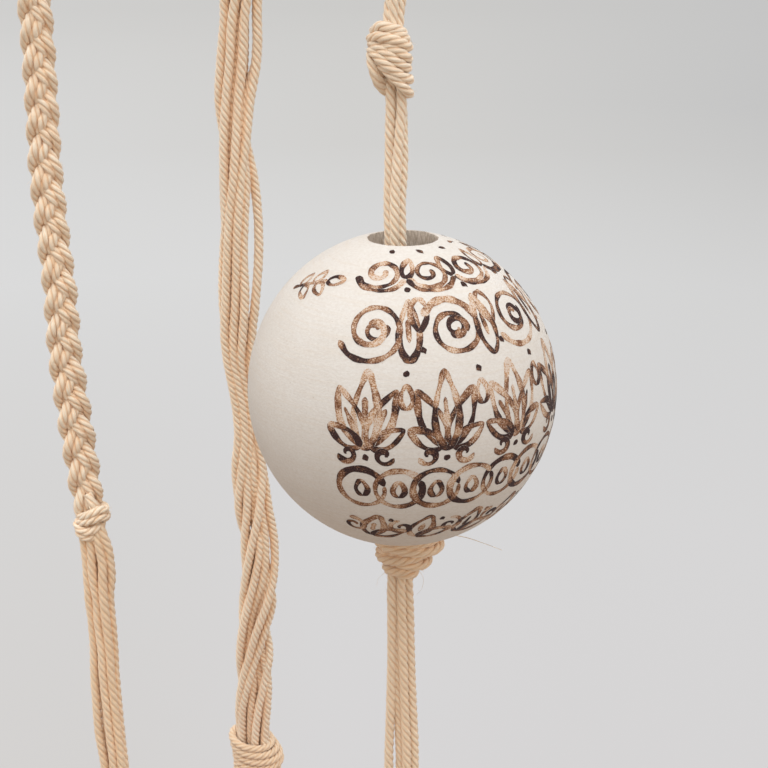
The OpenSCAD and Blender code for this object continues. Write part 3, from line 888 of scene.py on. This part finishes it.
# Cords of the knots as (side, height, depth): those that pass, and the fronts of the turns.
LEFT_KNOT_CORDS = (
    ((-1, -31, 1.4), (-2.9, -35, 1.8), (-2.6, -40, 1.6), (-2, -44, 1.5)),
    ((0.8, -31, 2.4), (2.2, -34.2, 3.2), (2.4, -38, 2.4), (2.6, -43, 2.6)),
    ((0.4, -32, 0), (0, -38, 0), (-0.3, -46, 1.5)),
)
LEFT_KNOT_TURNS = (
    ((-2.2, -38.9, 2.4), (0, -37.9, 4.1), (2.4, -36.5, 4.5), (4.4, -35.9, 3.5), (5.1, -37.1, 1.4)),
    ((-2.9, -40.7, 2.6), (-0.9, -40.1, 4.1), (1.9, -39, 4.6), (4.1, -38.5, 3.9), (5.2, -39.6, 1.4)),
    ((-4, -41.6, 2.2), (-2.1, -42.9, 4.2), (0.2, -43.1, 4.6), (2.4, -42.3, 3.8), (3.6, -41.5, 1.6)),
    ((-3.9, -44, 2), (-2.3, -45.2, 3.8), (-0.4, -45.5, 4.1), (1.3, -45.1, 3.3), (2.8, -44.4, 1.2)),
)


def make_left_knot():
    """Below the braid the cords are held by two doubled turns."""
    ropes = Ropes("left_knot_cords", warm=1.0, glow=0.4)
    for cord in LEFT_KNOT_CORDS:
        ropes.add(arm_route("left", cord), 2.9, 0.6)
    for front in LEFT_KNOT_TURNS:
        ropes.add(wound("left", front, 4.0), 2.7, 0.6, 10.5)
    ropes.hang("left_knot")


# Each cord's distances to the side and to the front from the arm's middle, at the heights.
LEFT_HEIGHTS = (-41, -45, -50, -55, -61, -68, -77, -87, -97, -108, -120, -136, -160)
LEFT_ROUTES = (
    ((-2.2, -2.6, -2.5, -2.5, -2.6, -2.9, -2.8, -2.9, -3.2, -3.3, -3.4, -2.5, -2.5),
     (1.5, 2, 2, 2, 2, 2, 1.6, 1.4, 1.6, 2, 2, 2, 1.6)),
    ((-0.4, -0.3, -0.3, -0.6, -0.7, -0.3, -0.6, -0.1, 0, 0.3, 0.4, 0.6, 0.4),
     (2.4, 3, 3, 3, 3, 2.6, 2.6, 2.8, 3, 3, 3, 2.8, 2.8)),
    ((3.2, 3.8, 4.8, 5, 4.8, 3.6, 3.4, 3.4, 3.5, 3.6, 3.6, 3.9, 3.3),
     (2.6, 2.8, 2.4, 1.8, 1.4, 1, 0.8, 0.6, 0.8, 1, 1, 1, 0.8)),
    ((1.6, 2, 2.4, 2.8, 2.4, 2.2, 2.2, 2.4, 2.6, 2.8, 3, 3.2, 2.6),
     (2.4, 3.4, 3.4, 3.2, 3.3, 3.4, 3.2, 3, 3, 2.8, 2.6, 2.6, 2.6)),
    ((-1.6, -1.5, -1, -0.2, 0, -0.6, -1.2, -1.4, -1.4, -1.4, -1.4, -1.4, -1.6),
     (-1.4, -1.4, -1.2, -0.6, -0.6, -0.8, -1, -1.2, -1.2, -1.2, -1.2, -1.2, -1.4)),
    ((1.8, 1.8, 1.9, 2.2, 2, 1.6, 1.6, 1.8, 1.8, 1.8, 1.8, 2, 1.6),
     (-1.2, -1.2, -1.2, -1.2, -1.4, -1.4, -1.4, -1.4, -1.4, -1.4, -1.4, -1.4, -1.6)),
)


def make_left_lower():
    routes = table_routes("left", LEFT_HEIGHTS, LEFT_ROUTES, ARMS_END_H)
    make_cords("left_lower_cords", ["left_lower_strands"], routes, 3.05, 0.7, warm=3.2, glow=0.6)


# ----- back arm
BACK_HEIGHTS = (118, 106, 92, 79, 64, 52, 37, 24, 4, -8, -20, -29, -39, -48, -65, -82, -98, -115, -125,
                -137, -151, -162, -177, -190)
BACK_ROUTES = (
    ((-3.2, -4.7, -5.7, -5.8, -4, -2, -1, 0, 1, 1, 0.5, 0.5, 0.8, 1, 0.8, 0.6, 1.4, -1.6, -3.4, -5.1, -5.8,
      -5, -3.5, -2.8),
     (2.5, 2.5, 3, 2.4, 1, 0, -1.5, -2.5, -3, -3, -3, -2, -1, 0, 2.5, 1.5, 3.8, 4.2, 4.2, 4, 3, 1, -0.5, -1)),
    ((0.9, -1.8, -2.5, -3.2, -4.2, -4.5, -4.9, -5.8, -5.5, -4.6, -4.2, -3.8, -3.4, -3.4, -3.8, -2.2, 0.6,
      4.2, 2, 0, 1, 2.7, 4.5, 5),
     (4, 4, 4, 4, 4, 4, 3, 1, 1, 0.5, 0.5, 0, 0, 0, 0, -1.5, -1.5, 2.4, 1.2, 0.4, 0.2, 0.4, 0.8, 0.8)),
    ((4, 2.3, 1.9, 1.2, 0.2, -1, -3.4, -4.1, -4.1, -4.5, -4, -3.7, -3.5, -3.8, -6.1, -5, -3.5, -2.5, -2, 0,
      3.5, 6, 6, 4.8),
     (4, 4, 4, 4, 5, 5, 4.5, 4.5, 4, 4, 4, 4, 4, 4, 3, 0.5, -0.5, -0.5, -0.5, 0, 0.8, 1.2, 1.8, 2.5)),
    ((6.5, 6.6, 6.6, 5.2, 3.6, 1.6, -0.4, -0.8, -0.5, -1.2, -1.6, -1.4, -1.1, -1.5, -3.7, -5.3, -3.8, 3,
      6.3, 4.4, 0.8, -1.8, -4.4, -4.9),
     (2, 2, 2, 3, 4, 4.2, 4.6, 4.4, 4, 4, 4, 4, 4, 4, 4, 2.8, -1, -2, 0, 2.4, 3, 3.5, 3, 2)),
    ((5.8, 6.2, 6.4, 3.4, 2, 3, 1.8, 1.6, 3, 2.3, 0.9, 0.6, 0.9, 0.5, -1.5, -1.9, -4.8, -4.4, -2.5, 3, 6.4,
      5, 2.4, 0.9),
     (-1.5, -1.5, 0.5, 2.4, 3, 2.6, 3, 3.2, 4, 4, 3.6, 2.6, 2, 2.4, 3, 3.5, 2.8, 0.5, -1.5, -2, 0.8, 2, 3,
      3.5)),
    ((1.7, 1.8, 2, 2.4, 3.2, 5.4, 6.4, 7, 6.8, 5.6, 4.6, 4, 3.6, 3.4, 4.2, 3, -1.9, -5.2, -5.6, -5, -3, 0.4,
      1, 2),
     (-1, 0, 0.4, 0, 0, 0, 0, 0.5, 2, 2, 2, 2, 2, 2, 1.5, 4, 4.5, 3.5, 2, 1.4, 1.2, 0, -1, -1)),
    ((-3.4, -3.7, -4, -4.2, -4.4, -5, -5.5, -4.5, -4, -3, -2, -1, 0, 1, 4, 6.3, 7, 6.2, 4.3, 1, -2.2, -4.4,
      -5.9, -5.8),
     (0.8, 0.8, 0.8, 0.8, 1.6, 1.6, 0.8, -1, -1.5, -1.5, -2, -2, -2.5, -2, -1.5, 0.3, 1, 3, 4, 4.5, 4, 3.3,
      2, 0.5)),
    ((-0.6, 0.2, 0, -0.9, -2, -2.4, -0.6, 1, 2.3, 2.6, 2.4, 2.2, 1.9, 1.6, 1.2, 3.4, 3.6, 1.9, -0.6, -2.2,
      -1.6, -0.2, -0.8, -1.4),
     (0.8, 1.8, 2, 2, 2, 2, 1.4, 0.6, 0.8, 1.2, 1.3, 1, 1, 1.2, 1.4, 2.2, 3.2, 3.3, 2.4, 2, 1.8, 1.8, 2,
      1.4)),
)
# Which strand at the hoop each of these cords is.
BACK_ORDER = (0, 2, 3, 5, 6, 7, 1, 4)
BACK_END_H = -222


def make_back_cords():
    routes = list(table_routes("back", BACK_HEIGHTS, BACK_ROUTES, BACK_END_H, 0.9))
    halves = []
    for part, cords in (("front", range(4)), ("rear", range(4, 8))):
        ropes = Ropes("back_cords_" + part, warm=0.0, glow=0.7)
        for i in cords:
            top = gather("back", BACK_ORDER[i], BACK_HEIGHTS[0], routes[i][0])
            ropes.add(top + routes[i][1:], 3.6, 0.65, LAY * 0.82)
        halves.append(ropes)
    front, rear = halves
    front.beside, rear.beside = rear.lines, front.lines
    front.hang("back_strands")
    rear.hang()


# The loose turns as (shift, radius, drop from the wrap's top, tilt), one turn apart.
BACK_WRAP_TURNS = ((-2.5, 7.8, 1.6, 1.4), (-1.2, 8.7, 4.7, 1.0), (-0.1, 9.2, 7.9, 0.9),
                   (0.7, 9.7, 11.0, 0.6), (0.6, 9.6, 14.2, 0.3))


def make_back_wrap():
    """The wrap that gathers the back arm; its first turns are loose and widen to one side."""
    centre = middle_of("back_wrap")
    top = BACK_WRAP_TOP + 0.4
    ropes = Ropes("back_wrap_cord", warm=2.6)
    ropes.add(helix(centre, 7.3 + CORD_D / 2, top - 12, BACK_WRAP_FOOT, 3.1, 190), step=0.7)
    route = []
    for i in range((len(BACK_WRAP_TURNS) - 1) * 18 + 1):
        a = math.radians(150 + 20 * i)
        shift, r, drop, tilt = (np.interp(i / 18, range(len(BACK_WRAP_TURNS)), values)
                                for values in zip(*BACK_WRAP_TURNS))
        route.append([centre[0] + shift + r * math.cos(a), centre[1] + r * 0.93 * math.sin(a),
                      top - drop + tilt * math.cos(a - math.pi)])
    inner = [c + (p - c) * 0.75 for p, c in zip(route[0], centre)]
    ropes.add([[inner[0], inner[1], top - 1.4]] + route, 3.2, 0.7, 10.5)
    ropes.hang("back_wrap")


# ----- right arm and ball
RIGHT_LAY = LAY * 0.87
KNOT_TOP_H = above_ball(ends_of("upper_ball_knot")[0])
LOWER_KNOT_TOP_H = above_ball(ends_of("lower_ball_knot")[0])
# Places of the cords above the upper knot, to the side and to the front of the arm's middle.
ABOVE_KNOT = ((-0.6, 1.4), (0.7, 2.3), (2.4, 1.2), (0.7, -1.0))
BALL_HEIGHTS = (102, 90, 79, 68, 58, 50, 20, -20, -45, -56)
IN_BALL = (
    ((-0.9, -1.2, -1.5, -1.7, -2, -2.2, -2.2, -2.2, -2.2, -2),
     (1.5, 1.5, 1.5, 1.5, 1.5, 1.5, 1.5, 1.4, 1.2, 1)),
    ((1.4, 2, 1.2, 0.4, -0.1, -0.6, -0.6, -0.4, 0, 0.3), (2, 2.2, 2.5, 2.8, 2.9, 2.9, 2.5, 2.2, 2, 1.8)),
    ((1.8, 1.9, 2.2, 2.3, 1.8, 1.5, 1.6, 1.9, 2.2, 2.2), (-0.6, -0.4, 0.3, 0.9, 1, 1, 1, 1, 0.8, 0.6)),
    ((0, 0.3, 0.1, 0.2, 0.3, 0.2, 0.2, 0.2, 0.2, 0.2),
     (-0.4, 0.3, 0.2, -0.4, -1.3, -1.3, -1.3, -1.3, -1.3, -1.3)),
)
BELOW_HEIGHTS = (-56, -66, -80, -97, -114, -141, -165)
BELOW_BALL = (
    ((-2.2, -2.2, -2.4, -2.9, -3.6, -4.6, -3.6), (1.4, 1.5, 1.5, 1.5, 1.5, 1.5, 1.4)),
    ((0.8, 0.9, 0.9, 1, 1.1, 1.7, 1.3), (1.8, 1.9, 2, 2, 2, 2, 1.8)),
    ((2.9, 3.2, 3.4, 3.5, 3.7, 4.4, 3.6), (0.6, 0.7, 0.7, 0.7, 0.7, 0.6, 0.6)),
    ((-0.7, -0.8, -0.9, -1.1, -1.1, -0.6, -0.8), (0.2, 0.5, 0.6, 0.6, 0.5, 0.4, -1)),
)


def make_right_upper():
    routes, h = [], KNOT_TOP_H
    for k, (side, depth) in enumerate(ABOVE_KNOT):
        places = (side, h + 8, depth), (side, h + 1, depth), (side * 0.8, h - 8, depth * 0.8)
        route = arm_route("right", places)
        routes.append(gather("right", k, h + 8, route[0]) + route[1:])
    make_cords("right_upper_cords", ["right_upper_strands"], routes, step=0.7, lay=RIGHT_LAY,
               warm=0.1, glow=0.1)


UPPER_KNOT_TURNS = (
    ((-4.8, 107.6, 2.4), (-2.8, 109.1, 4.2), (-0.7, 108.7, 5), (2.1, 108.1, 4.3), (3.9, 107.2, 2)),
    ((-3.6, 107, 2.5), (-1, 107.2, 4.2), (1.2, 107.1, 4.8), (3.4, 106.4, 3.9), (4.9, 105.4, 2)),
    ((-5.9, 105.4, 2), (-3.5, 106.3, 5), (-0.3, 105.8, 6), (2.8, 104.8, 5.7), (5.6, 103.4, 3.2)),
    ((-3, 104.4, 3.2), (-1, 103.7, 5.2), (1.9, 102.5, 5.8), (4.4, 101.2, 5), (5.5, 100.1, 2.8)),
    ((-5.5, 104, 2.8), (-3, 102.9, 5), (-0.5, 101.3, 6), (2.2, 99.4, 5.8), (4.9, 97.7, 3.8)),
    ((-5.8, 102.3, 2.8), (-3.7, 100.7, 5.3), (-1.1, 98.5, 6.3), (1.5, 96.5, 6.1), (3.5, 95.3, 5.2),
     (5.2, 94.4, 3)),
    ((-4.6, 100, 2), (-2.7, 98.2, 4.3), (-0.3, 95.9, 5.5), (2, 93.6, 5.6), (3.8, 91.9, 4.8),
     (4.8, 90.5, 2.6)),
    ((-4.4, 97, 0.5), (-1, 94, 1), (3.2, 97.5, 1.5), (5, 99, 1)),
)
UPPER_KNOT_LOBES = (
    ((-3, 103, 0.5), (-5.6, 101.2, 2), (-5.6, 98.5, 3.3), (-5.1, 95.7, 3.5), (-4.3, 93.2, 2.5),
     (-2.9, 91.2, 0.6), (-0.5, 90.2, -1.4), (2, 91, -2.6), (3.5, 94, -2.6)),
    ((-2.5, 101, 1), (-4.2, 98.5, 2.2), (-4, 95.6, 2.7), (-3.2, 93.2, 1.8), (-1.6, 91.8, 0),
     (0.5, 91.5, -1.8), (2.5, 93.5, -2)),
)


def make_upper_ball_knot():
    ropes = Ropes("upper_ball_knot_cords", warm=0.8, glow=0.1)
    for front in UPPER_KNOT_TURNS:
        slim = [(0.91 * side - 0.2, h, depth) for side, h, depth in front]
        ropes.add(wound("right", slim), 2.95, 0.55, 10.5)
    for lobe in UPPER_KNOT_LOBES:
        ropes.add(arm_route("right", lobe), 2.9, 0.55)
    ropes.hang("upper_ball_knot")


def make_ball_cords():
    make_cords("ball_cords", ["ball_strands"], table_routes("right", BALL_HEIGHTS, IN_BALL), 3.1, 0.6,
               RIGHT_LAY, warm=0.1, glow=0.1)


# Turns as (drop from the knot's top, shift, radius, tilt, the side that is lifted).
LOWER_KNOT_TURNS = ((1.8, 1.2, 10.2, 0.6, 200), (4.6, 1.6, 10.5, 1.5, 200), (7.2, 1.6, 9.0, 2.4, 10),
                    (9.9, 1.3, 7.4, 1.9, 172), (12.9, 0.9, 5.4, 1.6, 12), (15.2, 0.6, 4.2, 1.0, 180))
LOWER_KNOT_CORE = ((5.6, 7.4), (8.6, 5.6), (11.4, 3.6))
# Loose fibres as (side, height, depth) places, and their thickness.
LOWER_KNOT_HAIRS = (
    (((9.5, -49.8, 4), (14, -50.2, 2), (20, -52.0, 0), (27, -54.5, 0), (33, -56.9, 0)), 0.2),
    (((5.0, -61, 4), (7.6, -64, 5), (7.4, -68.5, 5), (5.4, -71.5, 4)), 0.07),
    (((-4.0, -62, 4), (-6.8, -64.5, 5), (-7.4, -68, 4)), 0.06),
)


def make_lower_ball_knot():
    """The knot that carries the ball: turns that narrow downward round the cords."""
    # Its large tint paints the ball's shadow on this knot as darker, warmer cotton.
    ropes = Ropes("lower_ball_knot_cords", warm=3.4, glow=0.5)
    for drop, shift, r, tilt, lean in LOWER_KNOT_TURNS:
        centre = in_arm("right", shift, LOWER_KNOT_TOP_H - drop, 0)
        ropes.add(turn_around(centre, r, tilt, lean, 0.94, 24), 3.35, 0.6, 14)
    for drop, r in LOWER_KNOT_CORE:
        centre = in_arm("right", 1.2, LOWER_KNOT_TOP_H - drop, 0)
        ropes.add(turn_around(centre, r, 0.6, 30, 0.94), 3.4, 0.8)
    for hair, thick in LOWER_KNOT_HAIRS:
        ropes.add_hair(arm_route("right", hair), thick)
    ropes.hang("lower_ball_knot")


def make_right_lower():
    routes = table_routes("right", BELOW_HEIGHTS, BELOW_BALL, ARMS_END_H, 0.8)
    make_cords("right_lower_cords", ["right_lower_strands"], routes, 3.35, 0.6, warm=2.0, glow=0.2)


def on_washed_wood(obj, material):
    obj.data.materials.append(material)
    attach(obj, "ball")


def make_ball():
    """The turned ball: a lathe profile with a worn, softly broken edge at each end of the bore."""
    lip, bore, segments = 0.4, BORE_R - 0.3, 220
    edge = math.degrees(math.asin((bore + lip) / BALL_SPHERE_R))
    profile = [[BALL_SPHERE_R * sind(a), BALL_TALL * cosd(a)] for a in np.linspace(edge, 180 - edge, 110)]
    z_edge = profile[0][1]
    rounding = [[bore + lip * (1 - sind(a)), z_edge - lip * 0.7 * (1 - cosd(a))]
                for a in np.linspace(10, 90, 6)]
    inside = [[bore, z] for z in np.linspace(z_edge - 3, 3 - z_edge, 14)]
    loop = np.array(profile + [[r, -z] for r, z in rounding] + inside[::-1] + rounding[::-1])
    n = len(loop)
    turn = np.radians(np.arange(segments) * 360 / segments)
    wave = (0.12 * np.sin(7 * turn + 1) + 0.1 * np.sin(17 * turn) + 0.06 * np.sin(41 * turn + 2)) / BORE_R
    r = loop[:, :1] * (1 + (loop[:, :1] < bore + lip * 0.55) * wave)
    points = joined(r * np.cos(turn), r * np.sin(turn), loop[:, 1:])
    look = np.zeros(points.shape)
    look[loop[:, 0] < bore + lip * 0.5, :, 0] = 1
    quads = grid(n + 1, segments)[:, INSIDE_OUT] % (n * segments)
    ball = new_mesh("ball_body", (points + BALL).reshape(-1, 3), [quads], look=look.reshape(-1, 3))
    on_washed_wood(ball, whitewash_material())
    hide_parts("wooden_ball")


class Ornament(Patches):
    """Painted strokes: thin ribbons just above the ball's surface. Their places are in degrees
    of longitude (0 faces the front, + to the right) and latitude."""

    def stroke(self, path, width=2.0, dark=(0.4, 0.8)):
        """A brush stroke along (longitude, latitude) points; dark is the ink at its two ends."""
        line, s = curve([(*p, 0) for p in path], 0.45)
        lon, lat = line[:, 0], line[:, 1]
        squeeze = np.cos(np.radians(lat))
        t = np.gradient(np.stack([lon * squeeze, lat], -1), axis=0)
        t /= np.maximum(lengths(t), 1e-9)[:, None]
        share = s / s[-1]
        half = math.degrees(width / 2 / BALL_SPHERE_R)
        swell = 0.85 + 0.2 * np.sin(share * rng.uniform(3, 8) + rng.uniform(0, 6)) + 0.1 * np.sin(s / 1.3)
        tips = np.sqrt(np.clip(np.minimum(share, 1 - share) * s[-1] / half / 1.1, 0.02, 1))
        half = half * swell * tips * 0.93
        across = np.array([-1, -0.66, -0.33, 0, 0.33, 0.66, 1.0])
        lon = np.radians(lon[:, None] - (t[:, 1] / squeeze * half)[:, None] * across)
        lat = np.radians(lat[:, None] + (t[:, 0] * half)[:, None] * across)
        # Each stroke lies a little higher than the one before, so that none flicker.
        lift = 0.025 + 0.0035 * ((len(self.points) + 1) % 12)
        r, tall = BALL_SPHERE_R + lift, BALL_TALL + lift
        level = r * np.cos(lat)
        points = joined(level * np.sin(lon), -level * np.cos(lon), tall * np.sin(lat)) + BALL
        ink = dark[0] + (dark[1] - dark[0]) * share + 0.16 * np.sin(s / rng.uniform(2, 5) + rng.uniform(0, 6))
        look = joined(np.abs(across), ink[:, None], rng.uniform())
        self.keep(points, grid(len(s), len(across), False)[:, INSIDE_OUT], look=look)

    def place(self, lon, lat, points, turn=0):
        """Points of a small figure, in degrees on the ball, set at a place and turned."""
        c, s = cosd(turn), sind(turn)
        return [(lon + (x * c - y * s) / cosd(lat), lat + x * s + y * c) for x, y in points]

    def dot(self, lon, lat, size, dark=0.85):
        r = math.degrees(size / 2 / BALL_SPHERE_R)
        path = [(-r * 0.5, -r * 0.2), (0, r * 0.1), (r * 0.5, r * 0.25)]
        self.stroke(self.place(lon, lat, path), size * 0.95, (dark, dark))

    def spiral(self, lon, lat, size, turns, start, way, width, dark):
        steps = int(turns * 12)
        spots = [(start + way * 30 * i, size * (1 - 0.86 * i / steps)) for i in range(steps + 1)]
        self.stroke(self.place(lon, lat, [(r * cosd(a), r * sind(a)) for a, r in spots]), width, dark)

    def petal(self, lon, lat, length, turn, fat, width, dark, vein=False):
        """A hollow petal that grows from a place: two curved strokes to one tip, and a vein."""
        for bend in (fat, -fat):
            path = [(u * length, bend * length * math.sin(math.pi * u ** 0.8)) for u in np.linspace(0, 1, 7)]
            self.stroke(self.place(lon, lat, path, turn), width, dark)
        if vein:
            path = [(0.3 * length, 0), (0.66 * length, 0.02 * length)]
            self.stroke(self.place(lon, lat, path, turn), width * 0.85, dark[::-1])


def draw_bore_ring(o):
    """Curls round the bore with petals between them."""
    for i, lon in enumerate(np.arange(-16, 215, 33)):
        way = 1 if i % 2 else -1
        o.spiral(lon, 61, 7.4, 1.6, 200, 1, 2.2, (0.35, 0.9) if i % 3 else (0.85, 0.3))
        o.stroke([(lon - 15, 58.2), (lon - 10, 54.6), (lon, 53), (lon + 11, 54.4), (lon + 17, 58)],
                 1.9, (0.9, 0.4))
        o.petal(lon + 17, 58.5, 10.5, 88 + 8 * way, 0.2, 2.0, (0.95, 0.4))
        o.dot(lon + 3, 72.5, 3.0)


def draw_sprig(o):
    """One sprig that stands apart on the bare side: a stem with leaves on both sides."""
    o.stroke([(-74, 45.5), (-62, 50), (-50, 53.5)], 1.9, (0.8, 0.35))
    for lon, lat, turn in ((-69, 47.5, 75), (-65, 49, -45), (-60, 50.8, 70), (-56, 52, -42)):
        o.petal(lon, lat, 7, turn, 0.26, 1.7, (0.75, 0.35))
    o.petal(-50, 53.5, 8, 15, 0.24, 1.8, (0.9, 0.4))


def draw_upper_ring(o):
    """Large scrolls with tall hollow leaves between them."""
    for i, lon in enumerate(np.arange(-13.5, 200, 35)):
        way = -1 if i % 2 else 1
        o.spiral(lon, 38.5, 11.6, 1.85, 180 + 25 * way, way, 2.5, (0.3, 0.98) if i % 3 else (0.8, 0.35))
        o.spiral(lon + 1, 38.5, 4.4, 1.1, 25 * way, -way, 2.0, (0.95, 0.6))
        o.petal(lon + 15.5, 27.5, 22.5, 90, 0.17, 2.2, (0.95, 0.3), True)
        o.dot(lon + 15.5, 53.5, 3.4, 0.95)
        o.petal(lon + 20.5, 50.5, 13, -92, 0.2, 1.9, (0.5, 0.85))
        o.dot(lon + 21, 31.5, 3.2, 0.9)


def draw_middle_ring(o):
    """Fans of hollow petals on curled feet, close beside each other."""
    for i, lon in enumerate(np.arange(-13, 200, 27.5)):
        dark, pale = (0.95, 0.3) if i % 2 else (0.65, 0.25)
        o.petal(lon, -1.5, 27, 90, 0.16, 2.4, (dark, pale), True)
        for side in (-1, 1):
            o.petal(lon + 0.8 * side, 0, 21.5, 90 - 27 * side, 0.17, 2.3, (dark, pale + 0.2), i % 2 == 0)
            o.petal(lon + 1.6 * side, -0.5, 13.5, 90 - 60 * side, 0.2, 2.2, (0.95, 0.5))
            o.spiral(lon + 6.2 * side, -3, 3.5, 1.15, 90 - 100 * side, -side, 2.1, (0.55, 0.95))
        o.dot(lon, -4.2, 3.6, 0.98)
        o.dot(lon + 13.7, 24, 3.4, 0.95)
        o.petal(lon + 13.7, 12.5, 8.5, 90, 0.25, 1.9, (0.8, 0.4))


def draw_lower_ring(o):
    """Loops that pass over each other, a drop of ink in each."""
    loop = [(8.0 * cosd(a), 7.6 * sind(a)) for a in range(20, 381, 24)]
    for i, lon in enumerate(np.arange(-15, 200, 13.2)):
        turn, dark = (10, (0.35, 0.85)) if i % 2 else (-10, (0.95, 0.4))
        o.stroke(o.place(lon, -16, loop, turn), 2.3, dark)
        o.petal(lon, -19.5, 7.2, 90, 0.28, 1.9, (0.95, 0.45))


def draw_foot_ring(o):
    """Leaning petals in pairs with curls under them."""
    for i, lon in enumerate(np.arange(-12, 195, 21)):
        way, dark = (1, (0.35, 0.9)) if i % 2 else (-1, (0.85, 0.4))
        o.petal(lon - 4, -43.5, 15.5, 72, 0.22, 2.2, dark, True)
        o.petal(lon - 3, -43, 13, 22, 0.22, 2.0, (0.9, 0.4))
        o.spiral(lon - 9.5, -36, 4.6, 1.4, 100, way, 2.1, (0.45, 0.9))
        o.dot(lon + 7, -31.5, 3.0, 0.9)


def make_ornament():
    """A sprig and five rings of plain painted figures: curls, petals, scrolls, loops and dots."""
    ornament = Ornament()
    for draw in (draw_bore_ring, draw_sprig, draw_upper_ring, draw_middle_ring, draw_lower_ring,
                 draw_foot_ring):
        draw(ornament)
    on_washed_wood(ornament.mesh("ball_ornament"), ink_material())


# ----- cradle
ARMS_ROUND = ("right", "back", "left")
HALF_WAY = 60
NET_PITCH = 4.2
POT_FIT = 0.6
POT_BAND = 14
POT_BAND_R, POT_BODY_R, POT_FOOT_R = 48, 45.5, 35
KNOT_R = 6.9


def next_arm(arm, way):
    return ARMS_ROUND[(ARMS_ROUND.index(arm) + way) % 3]


def pot_r(z):
    band_foot = POT_TOP - POT_BAND
    if z > band_foot:
        return POT_BAND_R
    return POT_BODY_R + (POT_FOOT_R - POT_BODY_R) * (band_foot - z) / (band_foot - POT_FOOT)


SIDE_R = pot_r(SIDE_TOP) + POT_FIT + 6.5


def columns(arm):
    return math.ceil(ARM_COUNT[arm] / 4)


def net_route(arm, way, i, top):
    """A strand from an arm's gathering knot to the side knot between two arms."""
    column, layer = i // 2, i % 2 - 0.5
    beside = columns(arm) + columns(next_arm(arm, way)) - 1
    start, end = way * (0.5 + column) * NET_PITCH, way * (column - beside / 2) * NET_PITCH

    def at(s, high, low):
        r = ARM_R + (SIDE_R - ARM_R) * s
        offset = start + (end - start) * s
        return polar(r + layer * PITCH, ARM_ANGLE[arm] + way * HALF_WAY * s + math.degrees(offset / r),
                     high + (low - high) * s)

    across = [at(s, top - 3, SIDE_TOP + 3) for s in np.linspace(0, 1, 9)]
    return [at(0, top + 4, SIDE_TOP), *across, at(1, top, SIDE_TOP - 4)]


def make_net(arm, top):
    routes = (net_route(arm, way, i, top) for way in (-1, 1) for i in range(ARM_COUNT[arm] // 2))
    make_cords(arm + "_net_cords", [arm + "_net_strands"], routes)


def make_cradle_knot(node, top, foot, count):
    """A gathering knot: slanted turns around the strands."""
    ropes = Ropes(node + "_cords")
    x, y, _ = middle_of(node)
    inner_r, turns = 2.6, 5
    gap = (top - foot) / turns
    for i in range(turns):
        r = KNOT_R - CORD_D / 2 - (1.3 if i in (0, turns - 1) else 0)
        tilt = 0.9 * (-1) ** i * 0.6 + 0.8
        ropes.add(turn_around((x, y, top - gap * (i + 0.5)), r, tilt, 30 + 25 * i), step=0.9)
    for k in range(count):
        a = 360 * k / count
        ends = polar(inner_r, a, top + 0.5), polar(inner_r, a + 20, foot - 0.5)
        ropes.add([end + [x, y, 0] for end in ends], step=1.2)
    ropes.hang(node)


def under_pot_route(k, angle, offset, layer):
    """A strand from a side knot round the pot's lower edge into place k of the bundle."""
    side_r = SIDE_R + (layer - 0.5) * PITCH
    side_turn = angle + math.degrees(offset / SIDE_R)
    route = [polar(side_r, side_turn, SIDE_FOOT + 3), polar(side_r, side_turn, SIDE_FOOT - 3)]
    bend = 4 + POT_FIT + CORD_D / 2 + layer * PITCH
    for a in (0, -15, -30, -45):
        r = POT_FOOT_R - 4 + bend * cosd(a)
        route.append(polar(r, angle + math.degrees(offset / r), POT_FOOT + 4 + bend * sind(a)))
    return route + [base_place(k, z) for z in (BASE_TOP + 3, BASE_TOP, BASE_FOOT - 1)]


def make_under_pot():
    routes = []
    for arm in ARMS_ROUND:
        after = next_arm(arm, 1)
        spots = [(i // 2, i % 2) for i in range(ARM_COUNT[arm] // 2)]
        spots += [(columns(arm) + i // 2, i % 2) for i in range(ARM_COUNT[after] // 2)]
        beside = columns(arm) + columns(after) - 1
        for column, layer in spots:
            offset = (column - beside / 2) * NET_PITCH
            routes.append(under_pot_route(len(routes), ARM_ANGLE[arm] + HALF_WAY, offset, layer))
    make_cords("under_pot_cords", ["under_pot_strands"], routes)


def make_cradle():
    for arm, top in (("left", CRADLE_FOOT), ("back", BACK_WRAP_FOOT), ("right", CRADLE_FOOT)):
        make_net(arm, top)
    for arm in ("left", "right"):
        make_cradle_knot(arm + "_cradle_knot", CRADLE_TOP, CRADLE_FOOT, ARM_COUNT[arm])
    for place in ("back_right", "left_back", "front"):
        make_cradle_knot(place + "_side_knot", SIDE_TOP, SIDE_FOOT, 6)
    make_under_pot()
    make_wrap("base_wrap_cord", "base_wrap", 7.6, BASE_TOP, BASE_FOOT)


# ----- make everything
def finish_nodes():
    """Materials for the CAD ring and pot. The spreader hoop keeps the model's own wood colour."""
    for node, material in (("hanging_ring", ring_wood_material()), ("pot", terracotta_material())):
        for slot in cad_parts[node].material_slots:
            slot.material = material


make_ball()
make_ornament()
make_crown_loops()
make_wrap("crown_wrap_cord", "crown_wrap", 8.0, CROWN_TOP, CROWN_FOOT)
for arm in ARM_COUNT:
    make_crown_cords(arm)
make_left_upper()
make_left_braid()
make_left_knot()
make_left_lower()
make_back_cords()
make_back_wrap()
make_right_upper()
make_upper_ball_knot()
make_ball_cords()
make_lower_ball_knot()
make_right_lower()
make_cradle()
finish_nodes()

bpy.context.view_layer.update()
